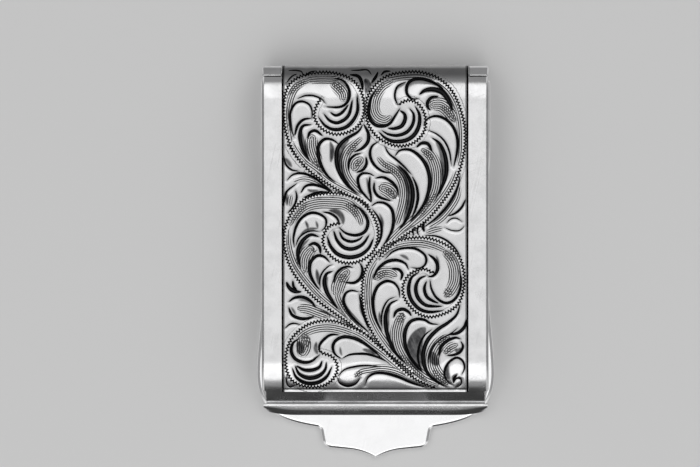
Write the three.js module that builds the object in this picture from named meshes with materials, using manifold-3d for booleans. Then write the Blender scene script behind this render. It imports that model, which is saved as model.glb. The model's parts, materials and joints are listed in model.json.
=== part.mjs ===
// Hinged money clip: a back plate with a scalloped thumb tab, a sprung front plate that closes on it
// like a lid, and an engraved panel let into the front plate.
// Millimetres. The clip lies on its back: +Z up out of the face, +Y towards the hinge, X across.
// The origin is on the ground under the middle of the whole clip.

import * as THREE from 'three';
import { mergeVertices } from 'three/addons/utils/BufferGeometryUtils.js';
import Module from 'manifold-3d';

const wasm = await Module();
wasm.setup();

// ---------------------------------------------------------------- driving dimensions

// lengths along Y
const front_length = 45.6;          // hinge end to the crease above the lip
const seam_from_end = 1.5;          // hinge end to the top edge of the side bands
const crown_length = 4.8;           // curved stretch of the front plate at the hinge end
const toe_length = 5.7;             // curved stretch of the front plate above the crease
const riser_run = 1.65;             // crease to the lip bar
const lip_depth = 1.75;             // lip bar, seen from above
const tab_reach = 6.0;              // lip edge to the tip of the thumb tab
const back_from_end = 1.8;          // hinge end to the top edge of the back plate

// widths along X
const front_half_width = 15.88;
const panel_half_width = 13.05;
const riser_half_width = 15.3;
const lip_half_width = 15.7;
const tab_half_width = 7.5;
const shoulder_overhang = 0.17;     // back plate past the front plate, at the hinge end
const waist_inset = 0.3;            // back plate inside the front plate, half way down
const bulge_overhang = 0.77;        // back plate past the front plate, at the finger bulge

// heights along Z, and the front plate's curves
const back_thickness = 1.4;
const front_thickness = 0.9;
const nose_cover = 1.85;            // face of the front plate above the top of the rolled nose
const panel_depth = 0.32;           // how deep the panel is let into the front plate
const panel_proud = 0.06;           // how far the panel stands out of it
const crown_radius = 8.0;
const toe_angle = THREE.MathUtils.degToRad(40);
const riser_angle = THREE.MathUtils.degToRad(56);
const edge_bevel = 0.45;

// rounded shapes
const shoulder_corner = 0.8;        // the back plate's corners at the hinge end
const shoulder_length = 8.0;        // straight edge below those corners
const bulge_above_lip = 5.9;        // lip edge to the widest place of the bulge
const lip_height = 1.05;
const lip_corner_width = 2.8;
const lip_corner_depth = 1.0;

// hinge
const pin_radius = 0.7;
const nose_radius = 1.8;            // rolled end of the panel round the pin
const nose_wrap = THREE.MathUtils.degToRad(50);
const outer_knuckle_step = 0.08;    // outer knuckles inside the nose
const outer_knuckle_length = 2.67;
const inner_knuckle_step = 0.08;    // inner knuckles inside the panel's rolled end
const middle_knuckle_length = 9.6;
const side_knuckle_length = 3.4;
const knuckle_chamfer = 0.25;

// springs and their keepers
const wire_radius = 0.22;
const coil_clearance = 0.12;        // between a coil and the pin
const coil_turns = 6.5;
const spring_leg = 6.6;             // from the pin's axis to the end of the wire
const keeper_width = 1.4;
const keeper_length = 1.2;
const keeper_roof = 0.4;

// clearances
const running_clearance = 0.05;     // pin in its knuckles
const fitted_gap = 0.02;            // between soldered pieces
const swing_clearance = 0.15;       // between the front body and the back plate
const knuckle_gap = 0.13;           // between neighbouring knuckles
const coil_end_gap = 0.25;          // between a coil and the knuckles beside it
const wire_clearance = 0.1;         // wire in its keepers

// ---------------------------------------------------------------- places worked out from them

const hinge_end = (front_length + riser_run + lip_depth + tab_reach) / 2;
const seam_y = hinge_end - seam_from_end;
const crown_y = hinge_end - crown_length;
const crease_y = hinge_end - front_length;
const toe_y = crease_y + toe_length;
const lip_edge_y = crease_y - riser_run - lip_depth;
const tab_tip_y = lip_edge_y - tab_reach;
const pin_y = hinge_end - nose_radius;
const pin_z = back_thickness + swing_clearance + nose_radius;
const front_top = pin_z + nose_radius + nose_cover;
const front_foot = back_thickness + swing_clearance;
const outer_knuckle_radius = nose_radius - outer_knuckle_step;
const inner_knuckle_radius = nose_radius - panel_depth - inner_knuckle_step;
const coil_radius = pin_radius + coil_clearance + wire_radius;
const knuckle_inner_x = panel_half_width + knuckle_gap;
const coil_inner_x = middle_knuckle_length / 2 + coil_end_gap + wire_radius;
const side_knuckle_x = knuckle_inner_x - knuckle_gap - side_knuckle_length;
const coil_outer_x = side_knuckle_x - coil_end_gap - wire_radius;
const keeper_y = pin_y - spring_leg + keeper_length / 2 + wire_clearance;

// The nose arc is tangent to the crown arc and upright where it meets the hinge end, level with the pin.
const nose_rise = pin_z - front_top + crown_radius;
const nose_arc_radius = (crown_radius ** 2 - crown_length ** 2 - nose_rise ** 2)
  / (2 * (crown_radius - crown_length));
const nose_arc_y = hinge_end - nose_arc_radius;
const crown_slope = Math.atan2(nose_arc_y - crown_y, nose_rise);
const seam_slope = Math.asin((seam_y - nose_arc_y) / nose_arc_radius);
const toe_radius = toe_length / Math.sin(toe_angle);
const crease_z = front_top - toe_radius * (1 - Math.cos(toe_angle));

// ---------------------------------------------------------------- solids

function solidOf(geometry) {
  geometry.deleteAttribute('normal');
  geometry.deleteAttribute('uv');
  const merged = mergeVertices(geometry, 1e-5);
  const vertProperties = merged.attributes.position.array;
  const triVerts = new Uint32Array(merged.index.array);
  return new wasm.Manifold(new wasm.Mesh({ numProp: 3, vertProperties, triVerts }));
}

function geometryOf(solid) {
  const { vertProperties, triVerts } = solid.getMesh();
  const geometry = new THREE.BufferGeometry();
  geometry.setAttribute('position', new THREE.BufferAttribute(vertProperties, 3));
  geometry.setIndex(new THREE.BufferAttribute(triVerts, 1));
  geometry.computeVertexNormals();
  return geometry;
}

// A body made of side-view outlines (points with y and z, anticlockwise seen from +X), one at each x.
function loft(sections) {
  const count = sections[0].outline.length;
  const positions = sections.flatMap(({ x, outline }) => outline.flatMap((p) => [x, p.y, p.z]));
  const flat = sections[0].outline.map((p) => new THREE.Vector2(p.y, p.z));
  const cap = THREE.ShapeUtils.triangulateShape(flat, []);
  const last = (sections.length - 1) * count;
  const index = cap.flatMap(([a, b, c]) => [a, c, b, last + a, last + b, last + c]);
  for (let s = 0; s < sections.length - 1; s++) {
    for (let i = 0; i < count; i++) {
      const a = s * count + i;
      const b = s * count + (i + 1) % count;
      index.push(a, b, b + count, a, b + count, a + count);
    }
  }
  const geometry = new THREE.BufferGeometry();
  geometry.setAttribute('position', new THREE.Float32BufferAttribute(positions, 3));
  geometry.setIndex(index);
  return solidOf(geometry);
}

const across = (outline, from, to) => loft([{ x: from, outline }, { x: to, outline }]);

// A disc or rod along X round a point of the side view.
function rod(radius, from, to, y = pin_y, z = pin_z, sides = 32) {
  const turn = new THREE.Matrix4().makeRotationZ(-Math.PI / 2);
  const place = new THREE.Matrix4().makeTranslation((from + to) / 2, y, z);
  const cylinder = new THREE.CylinderGeometry(radius, radius, to - from, sides);
  return solidOf(cylinder.applyMatrix4(place.multiply(turn)));
}

function box(from, to) {
  const size = new THREE.Vector3().subVectors(to, from);
  const middle = new THREE.Vector3().addVectors(from, to).multiplyScalar(0.5);
  const block = new THREE.BoxGeometry(size.x, size.y, size.z);
  return solidOf(block.translate(middle.x, middle.y, middle.z));
}

// ---------------------------------------------------------------- the front plate's side view

const onArc = (y, z, radius, angle) => ({
  y: y + radius * Math.sin(angle), z: z + radius * Math.cos(angle), my: Math.sin(angle), mz: Math.cos(angle),
});

function arc(y, z, radius, from, to, steps) {
  const points = [];
  for (let i = 0; i <= steps; i++) points.push(onArc(y, z, radius, from + (to - from) * i / steps));
  return points;
}

// The outer face from the hinge down, as points with the direction (my, mz) that moves each of them out.
const quarter = Math.PI / 2;
const nose = arc(nose_arc_y, pin_z, nose_arc_radius, quarter, seam_slope, 8);
const over_knuckle = arc(nose_arc_y, pin_z, nose_arc_radius, seam_slope, crown_slope, 3);
const crown = arc(crown_y, front_top - crown_radius, crown_radius, crown_slope, 0, 4);
const toe = arc(toe_y, front_top - toe_radius, toe_radius, 0, -toe_angle, 8);
const roll = arc(pin_y, pin_z, nose_radius, quarter + nose_wrap, quarter, 6);

// At the crease the two faces meet at a mitre.
const mitre = 1 / Math.cos((riser_angle - toe_angle) / 2);
const crease_lean = (riser_angle + toe_angle) / 2;
const crease = {
  y: crease_y, z: crease_z, my: -Math.sin(crease_lean) * mitre, mz: Math.cos(crease_lean) * mitre,
};
const lid = [...over_knuckle, ...crown.slice(1), ...toe.slice(0, -1)];

const moved = (points, out) => points.map((p) => ({ y: p.y + p.my * out, z: p.z + p.mz * out }));

// Where the riser's face, moved out by some distance, is at a height.
function riserAt(z, out) {
  const face = { y: crease.y - Math.sin(riser_angle) * out, z: crease.z + Math.cos(riser_angle) * out };
  return { y: face.y - (face.z - z) / Math.tan(riser_angle), z };
}

// ---------------------------------------------------------------- front body

function sheetOutline(skin) {
  const face = [...moved([...lid, crease], -skin), riserAt(front_foot, 0)];
  const inside = [...moved([...lid, crease], -front_thickness), riserAt(front_foot, -front_thickness)];
  return [...face, ...inside.reverse()];
}

function frontPlate() {
  const flat_half = front_half_width - edge_bevel;
  const sheet = loft([
    { x: -front_half_width, outline: sheetOutline(edge_bevel) },
    { x: -flat_half, outline: sheetOutline(0) },
    { x: flat_half, outline: sheetOutline(0) },
    { x: front_half_width, outline: sheetOutline(edge_bevel) },
  ]);
  // the bed that the panel lies in, open at both ends
  const toe_end = toe[toe.length - 1];
  const run_out = { ...toe_end, y: toe_end.y - toe_end.mz, z: toe_end.z + toe_end.my };
  const bed_line = [nose[nose.length - 2], ...lid, toe_end, run_out];
  const bed_depth = panel_depth + fitted_gap;
  const bed_outline = [...moved(bed_line, front_thickness), ...moved(bed_line, -bed_depth).reverse()];
  const bed_half = panel_half_width + fitted_gap;
  const plate = sheet.subtract(across(bed_outline, -bed_half, bed_half));
  // the riser is narrower than the plate above it
  const above = moved([crease], front_thickness)[0];
  const below = moved([crease], -2 * front_thickness)[0];
  const trim = [above, { y: lip_edge_y, z: above.z }, { y: lip_edge_y, z: 0 }, { y: below.y, z: 0 }, below];
  const left_trim = across(trim, -front_half_width - 1, -riser_half_width);
  const right_trim = across(trim, riser_half_width, front_half_width + 1);
  return plate.subtract(left_trim).subtract(right_trim);
}

function engravedPanel() {
  const line = [...roll.slice(0, -1), ...nose.slice(0, -1), ...lid, toe[toe.length - 1]];
  const outline = [...moved(line, panel_proud), ...moved(line, -panel_depth).reverse()];
  // its rolled end is dressed flush with the end of the clip
  const dressed = outline.map(({ y, z }) => ({ y: Math.min(y, hinge_end), z }));
  return across(dressed, -panel_half_width, panel_half_width);
}

// A knuckle soldered up into the curve of the panel and against the underside of the front plate.
function innerKnuckle(from, to) {
  const seam_edge = onArc(nose_arc_y, pin_z, nose_arc_radius, seam_slope + fitted_gap);
  const web = [
    ...moved([...nose.slice(0, -1), seam_edge], -panel_depth - fitted_gap),
    ...moved([seam_edge, ...over_knuckle], -front_thickness - fitted_gap),
    { y: pin_y - inner_knuckle_radius, z: pin_z },
  ];
  const bore = rod(pin_radius + running_clearance, from - 1, to + 1);
  return across(web, from, to).add(rod(inner_knuckle_radius, from, to)).subtract(bore);
}

// A half-round bar soldered along the foot of the riser, with its outer corners rounded off.
function lipBar() {
  const valley = riserAt(front_foot + lip_height, fitted_gap);
  const crown_at = lip_edge_y + (valley.y - lip_edge_y) * 0.85;
  const round = [];
  for (let i = 0; i <= 8; i++) {
    const t = quarter * i / 8;
    const y = crown_at + (lip_edge_y - crown_at) * Math.sin(t);
    round.push({ y, z: front_foot + lip_height * Math.cos(t) });
  }
  const bar = across([valley, ...round, riserAt(front_foot, fitted_gap)], -lip_half_width, lip_half_width);
  const plan = new THREE.Shape();
  const middle_x = lip_half_width - lip_corner_width;
  const corner_y = lip_edge_y + lip_corner_depth;
  plan.moveTo(-lip_half_width, crease_y);
  plan.absellipse(-middle_x, corner_y, lip_corner_width, lip_corner_depth, Math.PI, 3 * quarter);
  plan.absellipse(middle_x, corner_y, lip_corner_width, lip_corner_depth, 3 * quarter, 4 * quarter);
  plan.lineTo(lip_half_width, crease_y);
  const prism = new THREE.ExtrudeGeometry(plan, { depth: front_top, bevelEnabled: false, curveSegments: 8 });
  return bar.intersect(solidOf(prism));
}

// ---------------------------------------------------------------- back body

// One half of the outline, from the hinge end round to the tip of the tab.
function halfOutline(side) {
  const top = hinge_end - back_from_end;
  const shoulder = front_half_width + shoulder_overhang;
  const waist = front_half_width - waist_inset;
  const bulge = front_half_width + bulge_overhang;
  const notch = tab_half_width + 0.2;
  const below_lip = (d) => lip_edge_y - d;
  const bulge_y = lip_edge_y + bulge_above_lip;
  const path = new THREE.Path();
  const draw = (method, ...xy) => path[method](...xy.map((v, i) => (i % 2 ? v : side * v)));
  draw('moveTo', 0, top);
  draw('lineTo', shoulder - shoulder_corner, top);
  draw('quadraticCurveTo', shoulder, top, shoulder, top - shoulder_corner);
  draw('lineTo', shoulder, top - shoulder_length);
  draw('bezierCurveTo', shoulder, top - shoulder_length - 5, waist, crown_y - 12, waist, crown_y - 18);
  draw('bezierCurveTo', waist, bulge_y + 9, bulge, bulge_y + 4, bulge, bulge_y);
  // the finger bulge runs in an ogee to the notch beside the tab
  const heel = bulge - 3.25;
  draw('bezierCurveTo', bulge, bulge_y - 3.1, heel + 2, below_lip(-0.75), heel, below_lip(0.25));
  const brow = notch + 0.5;
  draw('bezierCurveTo', heel - 1.6, below_lip(1.0), brow + 1.6, below_lip(1.4), brow, below_lip(1.65));
  draw('quadraticCurveTo', notch + 0.1, below_lip(1.75), notch, below_lip(2.2));
  draw('lineTo', tab_half_width, below_lip(3.3));
  draw('bezierCurveTo', tab_half_width - 0.1, below_lip(4.1), tab_half_width - 0.6, below_lip(4.55),
    tab_half_width - 1.6, below_lip(4.62));
  draw('lineTo', tab_half_width - 3.9, below_lip(4.84));
  draw('bezierCurveTo', 2.1, below_lip(4.98), 0.9, below_lip(5.5), 0, tab_tip_y);
  return path.getPoints(7);
}

function backPlate() {
  const shape = new THREE.Shape([...halfOutline(-1).slice(1), ...halfOutline(1).slice(1, -1).reverse()]);
  return solidOf(new THREE.ExtrudeGeometry(shape, { depth: back_thickness, bevelEnabled: false }));
}

// A tube with a chamfered outer end, and a foot that stands on the back plate.
function outerKnuckle(side) {
  const end = knuckle_inner_x + outer_knuckle_length;
  const bore = pin_radius + running_clearance;
  const wall = [
    [bore, knuckle_inner_x], [outer_knuckle_radius, knuckle_inner_x],
    [outer_knuckle_radius, end - knuckle_chamfer], [outer_knuckle_radius - knuckle_chamfer, end],
    [bore, end], [bore, knuckle_inner_x],
  ];
  const tube = new THREE.LatheGeometry(wall.map(([r, along]) => new THREE.Vector2(r, along)), 32);
  tube.rotateZ(-side * quarter).translate(0, pin_y, pin_z);
  const xs = [side * knuckle_inner_x, side * (end - knuckle_chamfer)].sort((a, b) => a - b);
  const heel = new THREE.Vector3(xs[0], pin_y - outer_knuckle_radius, back_thickness + fitted_gap);
  const toe_end = new THREE.Vector3(xs[1], hinge_end - back_from_end - fitted_gap, pin_z);
  const foot = box(heel, toe_end).subtract(rod(bore, xs[0] - 1, xs[1] + 1));
  return solidOf(tube).add(foot);
}

// ---------------------------------------------------------------- springs and keepers

// A torsion spring round the pin: a leg along the back plate, the coil, and a leg under the front plate.
class SpringPath extends THREE.Curve {
  constructor(side) {
    super();
    this.side = side;
    this.coil_length = 2 * Math.PI * coil_radius * coil_turns;
    this.whole = this.coil_length + 2 * spring_leg;
  }

  getPoint(t, target = new THREE.Vector3()) {
    const along = t * this.whole - spring_leg;
    const turned = THREE.MathUtils.clamp(along / this.coil_length, 0, 1);
    const angle = 2 * Math.PI * coil_turns * turned;
    const straight = along < 0 ? -along : Math.max(along - this.coil_length, 0);
    const x = this.side * THREE.MathUtils.lerp(coil_outer_x, coil_inner_x, turned);
    const y = pin_y + coil_radius * Math.sin(angle) - straight;
    const z = pin_z - coil_radius * Math.cos(angle);
    return target.set(x, y, z);
  }
}

function spring(side) {
  const section = new THREE.Shape(new THREE.Path().absarc(0, 0, wire_radius, 0, 2 * Math.PI).getPoints(8));
  const extrudePath = new SpringPath(side);
  return solidOf(new THREE.ExtrudeGeometry(section, { steps: 120, bevelEnabled: false, extrudePath }));
}

// A small bridge that holds the end of a spring's leg, standing on the back plate or hanging from the front.
function keeper(x, from_z, to_z, wire_z) {
  const half = keeper_width / 2;
  const block = box(
    new THREE.Vector3(x - half, keeper_y - keeper_length / 2, from_z),
    new THREE.Vector3(x + half, keeper_y + keeper_length / 2, to_z),
  );
  const hole_radius = wire_radius + wire_clearance;
  const hole = new THREE.CylinderGeometry(hole_radius, hole_radius, 3 * keeper_length, 16);
  return block.subtract(solidOf(hole.translate(x, keeper_y, wire_z)));
}

// ---------------------------------------------------------------- materials and assembly

const finishes = {
  polished: { color: 0xd9dadc, metalness: 1, roughness: 0.16 },
  engraved: { color: 0xc4c6c9, metalness: 1, roughness: 0.28 },
  drawn: { color: 0xa8abb0, metalness: 1, roughness: 0.35 },
  spring_wire: { color: 0x8d9198, metalness: 1, roughness: 0.3 },
};

const clip = new THREE.Group();

function piece(name, solid, finish) {
  const mesh = new THREE.Mesh(geometryOf(solid), new THREE.MeshStandardMaterial(finishes[finish]));
  mesh.name = name;
  clip.add(mesh);
}

piece('back_plate', backPlate(), 'polished');
piece('front_plate', frontPlate(), 'polished');
piece('engraved_panel', engravedPanel(), 'engraved');
piece('lip_bar', lipBar(), 'polished');
piece('middle_knuckle', innerKnuckle(-middle_knuckle_length / 2, middle_knuckle_length / 2), 'drawn');
const pin_half = knuckle_inner_x + outer_knuckle_length - fitted_gap;
piece('hinge_pin', rod(pin_radius, -pin_half, pin_half), 'drawn');

const under_front = front_top - front_thickness - fitted_gap;
const on_back = back_thickness + fitted_gap;
for (const [hand, side] of [['left', -1], ['right', 1]]) {
  const [from, to] = [side * side_knuckle_x, side * panel_half_width].sort((a, b) => a - b);
  const hole_reach = wire_radius + wire_clearance + keeper_roof;
  piece(`back_knuckle_${hand}`, outerKnuckle(side), 'polished');
  piece(`front_knuckle_${hand}`, innerKnuckle(from, to), 'drawn');
  piece(`spring_${hand}`, spring(side), 'spring_wire');
  const low = pin_z - coil_radius;
  const high = pin_z + coil_radius;
  piece(`back_keeper_${hand}`, keeper(side * coil_outer_x, on_back, low + hole_reach, low), 'drawn');
  piece(`front_keeper_${hand}`, keeper(side * coil_inner_x, high - hole_reach, under_front, high), 'drawn');
}

export default clip;
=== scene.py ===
"""Hinged silver money clip with an engraved front panel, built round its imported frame.

Sizes are in millimetres in the clip's own frame (+Z out of the face, +Y towards the hinge) and are
turned into metres when a mesh is filled.
"""
import json
import math

import bpy
import numpy as np
from mathutils import Matrix, Vector


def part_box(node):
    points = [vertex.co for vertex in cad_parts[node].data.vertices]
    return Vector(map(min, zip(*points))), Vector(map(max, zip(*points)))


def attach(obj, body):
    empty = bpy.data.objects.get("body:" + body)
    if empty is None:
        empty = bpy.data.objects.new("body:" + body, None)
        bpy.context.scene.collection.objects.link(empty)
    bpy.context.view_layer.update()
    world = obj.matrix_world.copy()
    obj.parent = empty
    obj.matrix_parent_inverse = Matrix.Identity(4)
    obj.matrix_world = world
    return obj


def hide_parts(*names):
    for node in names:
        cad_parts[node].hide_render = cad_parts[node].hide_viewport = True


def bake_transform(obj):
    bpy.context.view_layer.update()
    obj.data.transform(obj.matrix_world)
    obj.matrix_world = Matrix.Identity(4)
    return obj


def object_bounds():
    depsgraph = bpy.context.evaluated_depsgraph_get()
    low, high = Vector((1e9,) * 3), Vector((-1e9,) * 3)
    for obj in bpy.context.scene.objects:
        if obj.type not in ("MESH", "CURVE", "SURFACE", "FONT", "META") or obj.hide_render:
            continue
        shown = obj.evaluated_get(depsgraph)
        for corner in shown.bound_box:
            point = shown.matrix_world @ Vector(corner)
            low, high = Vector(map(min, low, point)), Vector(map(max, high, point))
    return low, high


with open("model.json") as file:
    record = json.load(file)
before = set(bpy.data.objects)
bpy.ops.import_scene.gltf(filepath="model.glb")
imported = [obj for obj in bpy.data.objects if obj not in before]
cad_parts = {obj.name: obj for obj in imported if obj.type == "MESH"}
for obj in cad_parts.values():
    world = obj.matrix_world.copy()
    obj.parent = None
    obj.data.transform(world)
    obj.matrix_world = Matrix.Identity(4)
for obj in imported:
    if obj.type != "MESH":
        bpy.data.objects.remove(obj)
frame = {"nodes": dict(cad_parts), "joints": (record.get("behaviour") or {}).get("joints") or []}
cad_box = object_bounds()

MM = 0.001
QUARTER = math.pi / 2


def node_box(node):
    """The lowest and highest corners of a CAD node, in millimetres."""
    low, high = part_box(node)
    return np.array(low) / MM, np.array(high) / MM


# ---------------------------------------------------------------- sizes of the clip

PIN_Y, PIN_Z = (c / MM for c in frame["joints"][0]["pos_m"][1:])
HINGE_END = cad_box[1][1] / MM
(_, _, FRONT_FOOT), (FRONT_HALF, _, _) = node_box("front_plate")
PANEL_HALF, _, PANEL_TOP = node_box("engraved_panel")[1]
(_, TAB_TIP, _), (_, BACK_TOP_Y, BACK_THICK) = node_box("back_plate")
(_, LIP_EDGE, _), (LIP_HALF, _, LIP_TOP) = node_box("lip_bar")
(KNUCKLE_IN, _, _), (KNUCKLE_OUT, _, _) = node_box("back_knuckle_right")

# The panel in its bed, and the front plate's side view
PANEL_PROUD = 0.06
PANEL_DEPTH = 0.32
PANEL_GAP = 0.03
FRONT_TOP = PANEL_TOP - PANEL_PROUD
FRONT_THICK = 0.9
CROWN_LENGTH = 4.8
CROWN_RADIUS = 8.0
SEAM_FROM_END = 1.6
TOE_LENGTH = 5.7
TOE_ANGLE = math.radians(40)
RISER_ANGLE = math.radians(56)
RISER_HALF = 15.3
LIP_SLOPE = math.radians(30)
CREASE_Y = HINGE_END - 45.6
NOSE_RADIUS = HINGE_END - PIN_Y
NOSE_WRAP = math.radians(50)
EDGE_BEVEL = 0.45
EDGE_WIDTH = 0.5

# The engraving
CUT_PITCH = 0.121
CUT_DEPTH = 0.12
LEAN_DEPTH = 0.06
LEAN_WIDTH = 0.5
WRIGGLE_PERIOD = 0.46
WRIGGLE_SWING = 0.16
HATCH_PERIOD = 0.3
RULE_X = 12.98
FINE_RULE_X = 12.68
FOOT_RULE_Y = -17.8

# The pin and the springs
PIN_RADIUS = 0.7
WIRE_RADIUS = 0.22
COIL_RADIUS = 1.04
COIL_TURNS = 6.5
COIL_INNER_X = 5.27
COIL_OUTER_X = 9.18
SPRING_LEG = 6.6


# ---------------------------------------------------------------- camera, floor and light

def aim(obj, place, target):
    """Put an object at place, with its -Z axis towards target and its top towards +Y."""
    back = (Vector(place) - Vector(target)).normalized()
    right = Vector((0, 1, 0)).cross(back).normalized()
    up = back.cross(right)
    turn = Matrix((right, up, back)).transposed().to_4x4()
    obj.matrix_world = Matrix.Translation(place) @ turn


def make_camera():
    """Look straight down at the face, from slightly to the right."""
    target = Vector((-3.5, 3.97, FRONT_TOP)) * MM
    distance = 1.6
    view_width = 97.9 * MM
    lean = math.radians(1.0)
    data = bpy.data.cameras.new("camera")
    data.sensor_width = 36
    data.lens = data.sensor_width * distance / view_width
    data.clip_start = 0.01
    camera = bpy.data.objects.new("camera", data)
    bpy.context.collection.objects.link(camera)
    aim(camera, target + Vector((math.sin(lean), 0, math.cos(lean))) * distance, target)
    bpy.context.scene.camera = camera


def softbox(name, tilt, spread, across, level, mirrored=True):
    """A soft light 0.7 m away, tilted from overhead towards +Y and spread deep, both in degrees.

    level is the brightness of its face. A light that isn't mirrored brightens the floor without showing
    in the metal.
    """
    distance = 0.7
    deep = 2 * distance * math.tan(math.radians(spread) / 2)
    turn = math.radians(tilt)
    data = bpy.data.lights.new(name, "AREA")
    data.shape = "RECTANGLE"
    data.size = across
    data.size_y = deep
    data.energy = level * math.pi * across * deep
    light = bpy.data.objects.new(name, data)
    bpy.context.collection.objects.link(light)
    aim(light, Vector((0, math.sin(turn), math.cos(turn))) * distance, Vector((0, 0, 0.005)))
    light.visible_glossy = mirrored


def make_floor():
    """A pale square under the clip that the metal doesn't mirror and that is clear from beneath."""
    half, low = 0.9, -0.02 * MM
    corners = [(-half, -half, low), (half, -half, low), (half, half, low), (-half, half, low)]
    mesh = bpy.data.meshes.new("floor")
    mesh.from_pydata(corners, [], [(0, 1, 2, 3)])
    floor = bpy.data.objects.new("floor", mesh)
    bpy.context.collection.objects.link(floor)
    floor.visible_glossy = False
    paint = bpy.data.materials.new("floor_paint")
    paint.use_nodes = True
    tree = paint.node_tree
    shader = tree.nodes["Principled BSDF"]
    shader.inputs["Base Color"].default_value = tone(0.6)
    shader.inputs["Roughness"].default_value = 0.9
    shader.inputs["Specular IOR Level"].default_value = 0.1
    beneath = tree.nodes.new("ShaderNodeNewGeometry").outputs["Backfacing"]
    feed(tree, maths(tree, "SUBTRACT", 1.0, beneath), shader.inputs["Alpha"])
    floor.data.materials.append(paint)


def make_room():
    """A room that is pale by itself, and in the metal dim: dark low in front, grey above, behind and beside.

    The metal sees its low corners and what lies underneath as bright, so that it shines from every side.
    """
    world = bpy.data.worlds.new("room")
    world.use_nodes = True
    tree = world.node_tree
    split = tree.nodes.new("ShaderNodeSeparateXYZ")
    tree.links.new(tree.nodes.new("ShaderNodeTexCoord").outputs["Generated"], split.inputs[0])
    x, y, z = split.outputs
    behind = ramp(tree, y, 0.1, 0.6)
    beside = ramp(tree, maths(tree, "ABSOLUTE", x), 0.25, 0.7)
    above = ramp(tree, z, 0.29, 0.37)
    askew = ramp(tree, maths(tree, "ABSOLUTE", y), 0.25, 0.55)
    corner = maths(tree, "MULTIPLY", beside, askew, ramp(tree, z, 0.62, 0.48))
    under = ramp(tree, z, -0.45, -0.7, 0.0, 0.8)
    dim = mixed(tree, maths(tree, "MAXIMUM", above, behind, beside), tone(0.05), tone(0.31, 0.002))
    seen = mixed(tree, maths(tree, "MAXIMUM", corner, under), dim, tone(0.8))
    mirrored = tree.nodes.new("ShaderNodeLightPath").outputs["Is Glossy Ray"]
    tree.links.new(mixed(tree, mirrored, tone(0.42), seen), tree.nodes["Background"].inputs["Color"])
    bpy.context.scene.world = world


def make_lights():
    """Soft lights from the front to the hinge end; the floor's own one doesn't show in the metal."""
    bpy.context.scene.view_settings.view_transform = "Standard"
    softbox("front_light", -40.5, 33, 1.0, 1.2)
    softbox("top_light", -9.5, 28, 0.9, 0.68)
    softbox("hinge_light", 20, 30, 1.0, 1.05)
    softbox("floor_light", 0, 60, 0.9, 0.15, mirrored=False)


# ---------------------------------------------------------------- node helpers

def tone(level, cool=0.0):
    """A grey of one level, with a little more blue if asked."""
    return (level, level, level + cool, 1)


def feed(tree, source, socket):
    """Link a socket to another socket, or set it to a plain value."""
    if isinstance(source, bpy.types.NodeSocket):
        tree.links.new(source, socket)
    else:
        socket.default_value = source


def maths(tree, operation, first, *others):
    """Arithmetic on numbers or sockets; more than two are taken one after another."""
    for other in others or (None,):
        node = tree.nodes.new("ShaderNodeMath")
        node.operation = operation
        feed(tree, first, node.inputs[0])
        if other is not None:
            feed(tree, other, node.inputs[1])
        first = node.outputs[0]
    return first


def mixed(tree, amount, first, second):
    """The colour between first and second."""
    node = tree.nodes.new("ShaderNodeMix")
    node.data_type = "RGBA"
    feed(tree, amount, node.inputs[0])
    feed(tree, first, node.inputs[6])
    feed(tree, second, node.inputs[7])
    return node.outputs[2]


def ramp(tree, value, start, end, low=0.0, high=1.0):
    """A smooth rise from low to high as value goes from start to end."""
    node = tree.nodes.new("ShaderNodeMapRange")
    node.interpolation_type = "SMOOTHSTEP"
    for source, socket in zip((value, start, end, low, high), node.inputs):
        feed(tree, source, socket)
    return node.outputs[0]


def noise(tree, scale, stretch=(1, 1, 1), turn=0.0, detail=3.0):
    """Noise on the object's own coordinates, turned about Z and stretched; scale counts cells in a metre."""
    place = tree.nodes.new("ShaderNodeTexCoord").outputs["Object"]
    mapping = tree.nodes.new("ShaderNodeMapping")
    mapping.vector_type = "TEXTURE"
    mapping.inputs["Rotation"].default_value = (0, 0, turn)
    mapping.inputs["Scale"].default_value = stretch
    tree.links.new(place, mapping.inputs["Vector"])
    node = tree.nodes.new("ShaderNodeTexNoise")
    node.inputs["Scale"].default_value = scale
    node.inputs["Detail"].default_value = detail
    tree.links.new(mapping.outputs[0], node.inputs["Vector"])
    return node.outputs["Fac"]


def reading(tree, field):
    """A number kept for each point of the mesh."""
    node = tree.nodes.new("ShaderNodeAttribute")
    node.attribute_name = field
    return node.outputs["Fac"]


def new_group(name, inputs, outputs=("Shade", "Roughness", "Height")):
    """An empty node group with number sockets, and its two ends."""
    tree = bpy.data.node_groups.new(name, "ShaderNodeTree")
    for direction, sockets in (("INPUT", inputs), ("OUTPUT", outputs)):
        for socket in sockets:
            tree.interface.new_socket(socket, in_out=direction, socket_type="NodeSocketFloat")
    return tree, tree.nodes.new("NodeGroupInput").outputs, tree.nodes.new("NodeGroupOutput").inputs


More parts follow.
